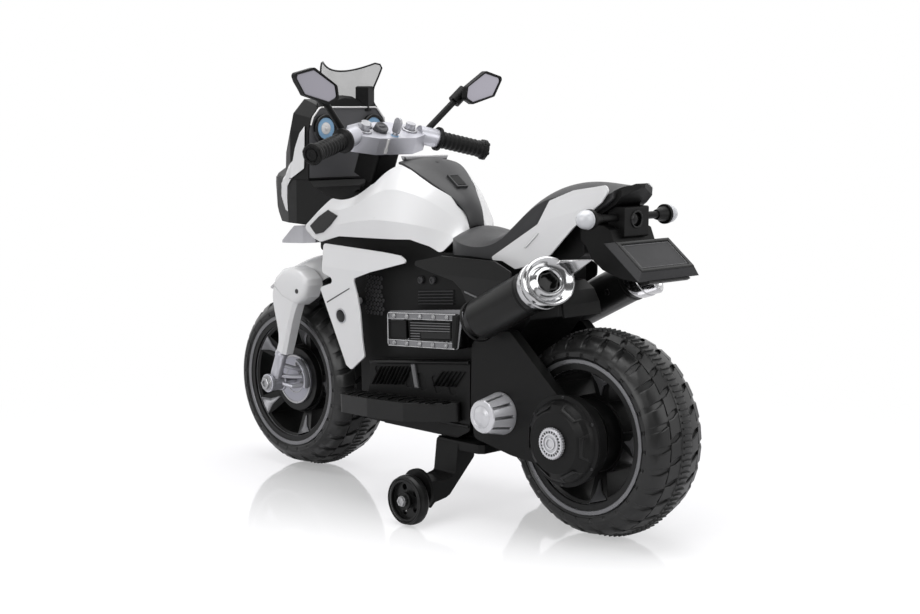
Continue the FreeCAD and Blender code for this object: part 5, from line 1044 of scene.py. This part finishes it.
def dress_clamp():
    """Button collars, ignition lock, key ring and hanging key on the handlebar clamp."""
    with Piece("button_collars", "silver", body="steering") as collars:
        for side in SIDES:
            collars.ring(at(CLAMP_TOP, BUTTON[0], side * BUTTON[1]), *BUTTON_RING)
        collars.turned(at(CLAMP_TOP, *THIRD_BUTTON), THIRD_PROFILE)
    with Piece("ignition_lock", "dark_grey", "dash_grey", "steering") as lock:
        place = spun(at(CLAMP_TOP, *LOCK), LOCK_LEAN, "Y")
        lock.turned(place, LOCK_PROFILE)
        lock.slab(at(place, z=LOCK_FACE), LOCK_SLOT, 1.6, chamfer=0.4)
    make("key_escutcheon", "dark_grey", "gauge_blue", [at(CLAMP_TOP, *KEY_PLACE)], (Piece.ring, *KEY_RING),
         body="steering")
    make("hanging_key", "clear", "gauge_white", [FORK @ rearward(*KEY_CORD)],
         (Piece.slab, HANGING_KEY, 2.4, 0.7), body="steering")


BAR_ROOT = Vector((-21, 76.6, 511.6))
BAR_SWEEP = radians(20.4)
BAR_DROOP = radians(5.2)
GRIP_END = 141
GRIP_NOTCHES = 6
GRIP_NOTCH = ((12, -2.2), (18.4, -2.6), (18.4, 2.6), (12, 2.2))
GRIP_RING = (12.4, 17.6, -1.6, 2.2, 1.2)
GRIP_CAP = ((10.4, -1.6), (10.4, 1.4), (9.4, 2.4), (5, 2.4), (4.4, 1.4))


def cap_grips():
    """Notched end caps on both grips."""
    with Piece("grip_caps", "satin_black", body="steering") as caps:
        for side in SIDES:
            run = Vector((-sin(BAR_SWEEP) * cos(BAR_DROOP),
                          side * cos(BAR_SWEEP) * cos(BAR_DROOP), -sin(BAR_DROOP)))
            root = Vector((BAR_ROOT.x, side * BAR_ROOT.y, BAR_ROOT.z)) + run * GRIP_END
            end = FORK @ (Matrix.Translation(root) @ run.to_track_quat("Z", "Y").to_matrix().to_4x4())
            caps.ring(end, *GRIP_RING)
            caps.turned(end, GRIP_CAP)
            for turn in angles(GRIP_NOTCHES):
                caps.slab(spun(end, turn), GRIP_NOTCH, 3.2, chamfer=0.8, start=-8)


SCREEN_ROWS = ((0, 71), (0.1, 67), (0.24, 64.5), (0.45, 66), (0.68, 70.5), (0.84, 73.5), (0.93, 70.5),
               (1, 63))
SCREEN_HALF = 76
SCREEN_STEPS = 20
SCREEN_THICK = 2.6
SCREEN_EDGE = 1.7
SCREEN_FOOT = (682, 16)
SCREEN_PEAK = (771, -22)
SCREEN_X = (258, -13)
SCREEN_BOW = (47, -10)


def screen_point(share, y):
    """A point of the screen, from its foot to its peaks, on its bowed sheet."""
    bow = 1 - (y / SCREEN_HALF) ** 2
    low, high = (edge + rise * bow for edge, rise in (SCREEN_FOOT, SCREEN_PEAK))
    x, depth = (foot + gain * share for foot, gain in (SCREEN_X, SCREEN_BOW))
    return Vector((x + depth * bow, y, low + (high - low) * share))


def shape_screen():
    """Smoked screen with two peaks and pinched sides, and its dark edge."""
    steps = [step / SCREEN_STEPS for step in range(-SCREEN_STEPS, SCREEN_STEPS + 1)]
    rows = [[screen_point(share, half * across) for across in steps] for share, half in SCREEN_ROWS]
    thick = Vector((SCREEN_THICK, 0, 0))
    with Piece("screen", "smoked", instead_of="windshield") as screen:
        screen.skin([row + [point + thick for point in reversed(row)] for row in rows])
    with Piece("screen_edge", *GLOSS) as edge:
        route = [row[0] for row in rows] + rows[-1][1:-1] + [row[-1] for row in reversed(rows)]
        edge.bar([point + thick / 2 for point in route], SCREEN_EDGE)


FRONT_PIXELS = ((299.5, 133), (294.8, 148), (292.6, 160.8), (281.4, 172.4), (278.2, 181.5),
                (281.4, 196), (285.6, 209.5))
REAR_PIXELS = ((304.6, 126), (304.4, 148), (304, 168.4), (291.5, 178), (287.4, 186), (287.2, 198),
               (288, 211.5))
CHEEK_LIFT = 3.0
CHEEK_SPAN = 42
LENS_RIM = ((43, 45), (-43, 45), (-14, -52), (14, -52))
REFLECTORS = ((19, 24, 14), (-19, 24, 14), (0, -16, 11))
REFLECTOR_WIDE = 3
BULB_SHARES = ((0.45, -0.6), (0.45, 0.5), (0.3, 1))
GUARD_SHOULDER = ((-36.5, 199), (-37.5, 224), (-31, 234), (-8, 239.5), (20, 235), (42, 220), (55, 196),
                  (54, 176), (20, 168), (-16, 172), (-26, 184))
SHOULDER_LEVELS = ((0, 76), (0, 98), (1, 106), (3, 110.5), (6.5, 113.8), (12, 115.4))


def dress_nose():
    """White cheeks, headlight rim and reflectors, white shoulders over the fork crown."""
    make("nose_cheeks", *PAINT, [("cowl", "lower_nose")],
         (Piece.patch, FRONT_PIXELS, REAR_PIXELS, CHEEK_LIFT, CHEEK_SPAN), instead_of="cowl_cheeks")
    make("headlight_rim", *GLOSS, [LENS], (Piece.border, LENS_RIM, 3.2, 1.6, 0.6))
    with Piece("headlight_reflectors", "chrome") as reflectors:
        for x, y, radius in REFLECTORS:
            place = at(LENS, x, y)
            reflectors.ring(place, radius - REFLECTOR_WIDE, radius, -0.6, 1.4, soft=0.6)
            reflectors.turned(place, [(radius * share, height) for share, height in BULB_SHARES], 24)
    shoulder = [(inset(GUARD_SHOULDER, by), reach) for by, reach in SHOULDER_LEVELS]
    make("guard_shoulders", *PAINT, both(fork_face, 0), (Piece.stacked, shoulder), body="steering")


make_tyres()
trim_rims()
make_fork_feet()
dress_rear_hubs()
dress_stabilisers()
dress_engine_covers()
rib_flanks()
dress_shrouds()
grip_footboards()
make_exhausts()
dress_tail()
dress_cockpit()
dress_clamp()
cap_grips()
shape_screen()
dress_nose()


# Studio in metres: pale floor, white backdrop and soft boxes

WHITE = (1, 1, 1, 1)
FLOOR_DROP = 0.0012
FLOOR_REACH = 40
FLOOR_GREY = (0.55, 0.55, 0.56, 1)
FLOOR_GLOW = 0.55
MIRROR_GLOW = 0.2
FLOOR_SHINE = (0.95, 0.94, 0.97, 1)
FLOOR_ROUGH = 0.06
WET_WAY = (-0.55, 0.83, 0)
WET_RAMP = (-0.25, 0.62, 0.42, 0.0)
FADE_RAMP = (0.55, 1.3)
SKY_RAMP = (-0.55, 0.5)
LIGHT_TARGET = Vector((0, 0, 0.35))
ROOM_LEVEL = 0.16
AMBIENT_LEVEL = 0.30

camera = shown("camera", bpy.data.cameras.new("camera"))
camera.data.lens = CAMERA_LENS
camera.data.sensor_width = CAMERA_SENSOR
camera.location = camera_place
camera.rotation_euler = camera_turn.to_euler()
scene.camera = camera


def light_paths(tree):
    """One for camera rays, and one for mirror and clear rays."""
    path = tree.nodes.new("ShaderNodeLightPath")
    direct, mirrored, cleared = (Shade(tree, path.outputs["Is " + name + " Ray"])
                                 for name in ("Camera", "Glossy", "Transmission"))
    return direct, direct.maths("MINIMUM", mirrored + cleared, 1.0)


def ramp(value, start, end, low=0.0, high=1.0):
    """A smooth change from low to high while a value runs from start to end."""
    ends = {"Value": value, "From Min": start, "From Max": end, "To Min": low, "To Max": high}
    return value.node("MapRange", ends, interpolation_type="SMOOTHSTEP")


def lay_floor():
    """Pale floor with shadow and a faint reflection, plain white further out."""
    mesh = bpy.data.meshes.new("floor")
    corners = ((-1, -1), (1, -1), (1, 1), (-1, 1))
    mesh.from_pydata([(x * FLOOR_REACH, y * FLOOR_REACH, -FLOOR_DROP) for x, y in corners], [],
                     [(0, 1, 2, 3)])
    floor = shown("floor", mesh)
    start, shader = blank("floor")
    direct, mirrored = light_paths(start.tree)
    lit = start.node("BsdfDiffuse", {"Color": FLOOR_GREY})
    glow = start.node("Emission", {"Color": WHITE, "Strength": direct * FLOOR_GLOW + mirrored * MIRROR_GLOW})
    pale = start.node("AddShader", {0: lit, 1: glow})
    shine = start.node("BsdfGlossy", {"Color": FLOOR_SHINE, "Roughness": FLOOR_ROUGH})
    spot = start.node("NewGeometry", out="Position")
    beside = start.node("VectorMath", {0: spot, 1: WET_WAY}, out="Value", operation="DOT_PRODUCT")
    wet = ramp(beside, *WET_RAMP)
    near = start.node("MixShader", {0: wet, 1: pale, 2: shine})
    away = start.node("VectorMath", {0: spot}, out="Value", operation="LENGTH")
    fade = ramp(away, *FADE_RAMP)
    white = start.node("Emission", {"Color": WHITE, "Strength": 1.0})
    whole = start.node("MixShader", {0: fade * direct, 1: near, 2: white})
    put(start.tree.nodes["Material Output"], "Surface", whole)
    start.tree.nodes.remove(shader)
    wear(mesh, "floor")


def soft_box(name, place, size, power):
    """Square soft light that faces the bike."""
    lamp = bpy.data.lights.new(name, "AREA")
    lamp.shape = "RECTANGLE"
    lamp.size, lamp.size_y = size
    lamp.energy = power
    box = shown(name, lamp)
    box.location = place
    box.rotation_euler = (LIGHT_TARGET - Vector(place)).to_track_quat("-Z", "Y").to_euler()


lay_floor()
soft_box("top_light", (0.0, 0.0, 3.2), (3.0, 3.0), 82)
soft_box("left_light", (-0.6, 3.0, 1.6), (2.4, 2.0), 40)
soft_box("rear_light", (-3.0, -0.6, 1.5), (2.0, 2.0), 26)

world = bpy.data.worlds.new("studio")
scene.world = world
world.use_nodes = True
tree = world.node_tree
sky = tree.nodes["Background"]
direct, mirrored = light_paths(tree)
outward = direct.node("TexCoord", out="Generated")
facing = direct.node("VectorMath", {0: outward, 1: tuple(-back)}, out="Value", operation="DOT_PRODUCT")
backdrop = ramp(facing, *SKY_RAMP, ROOM_LEVEL)
level = AMBIENT_LEVEL + direct * (1 - AMBIENT_LEVEL) + mirrored * (backdrop - AMBIENT_LEVEL)
put(sky, "Color", WHITE)
put(sky, "Strength", level)

scene.view_settings.view_transform = "Standard"
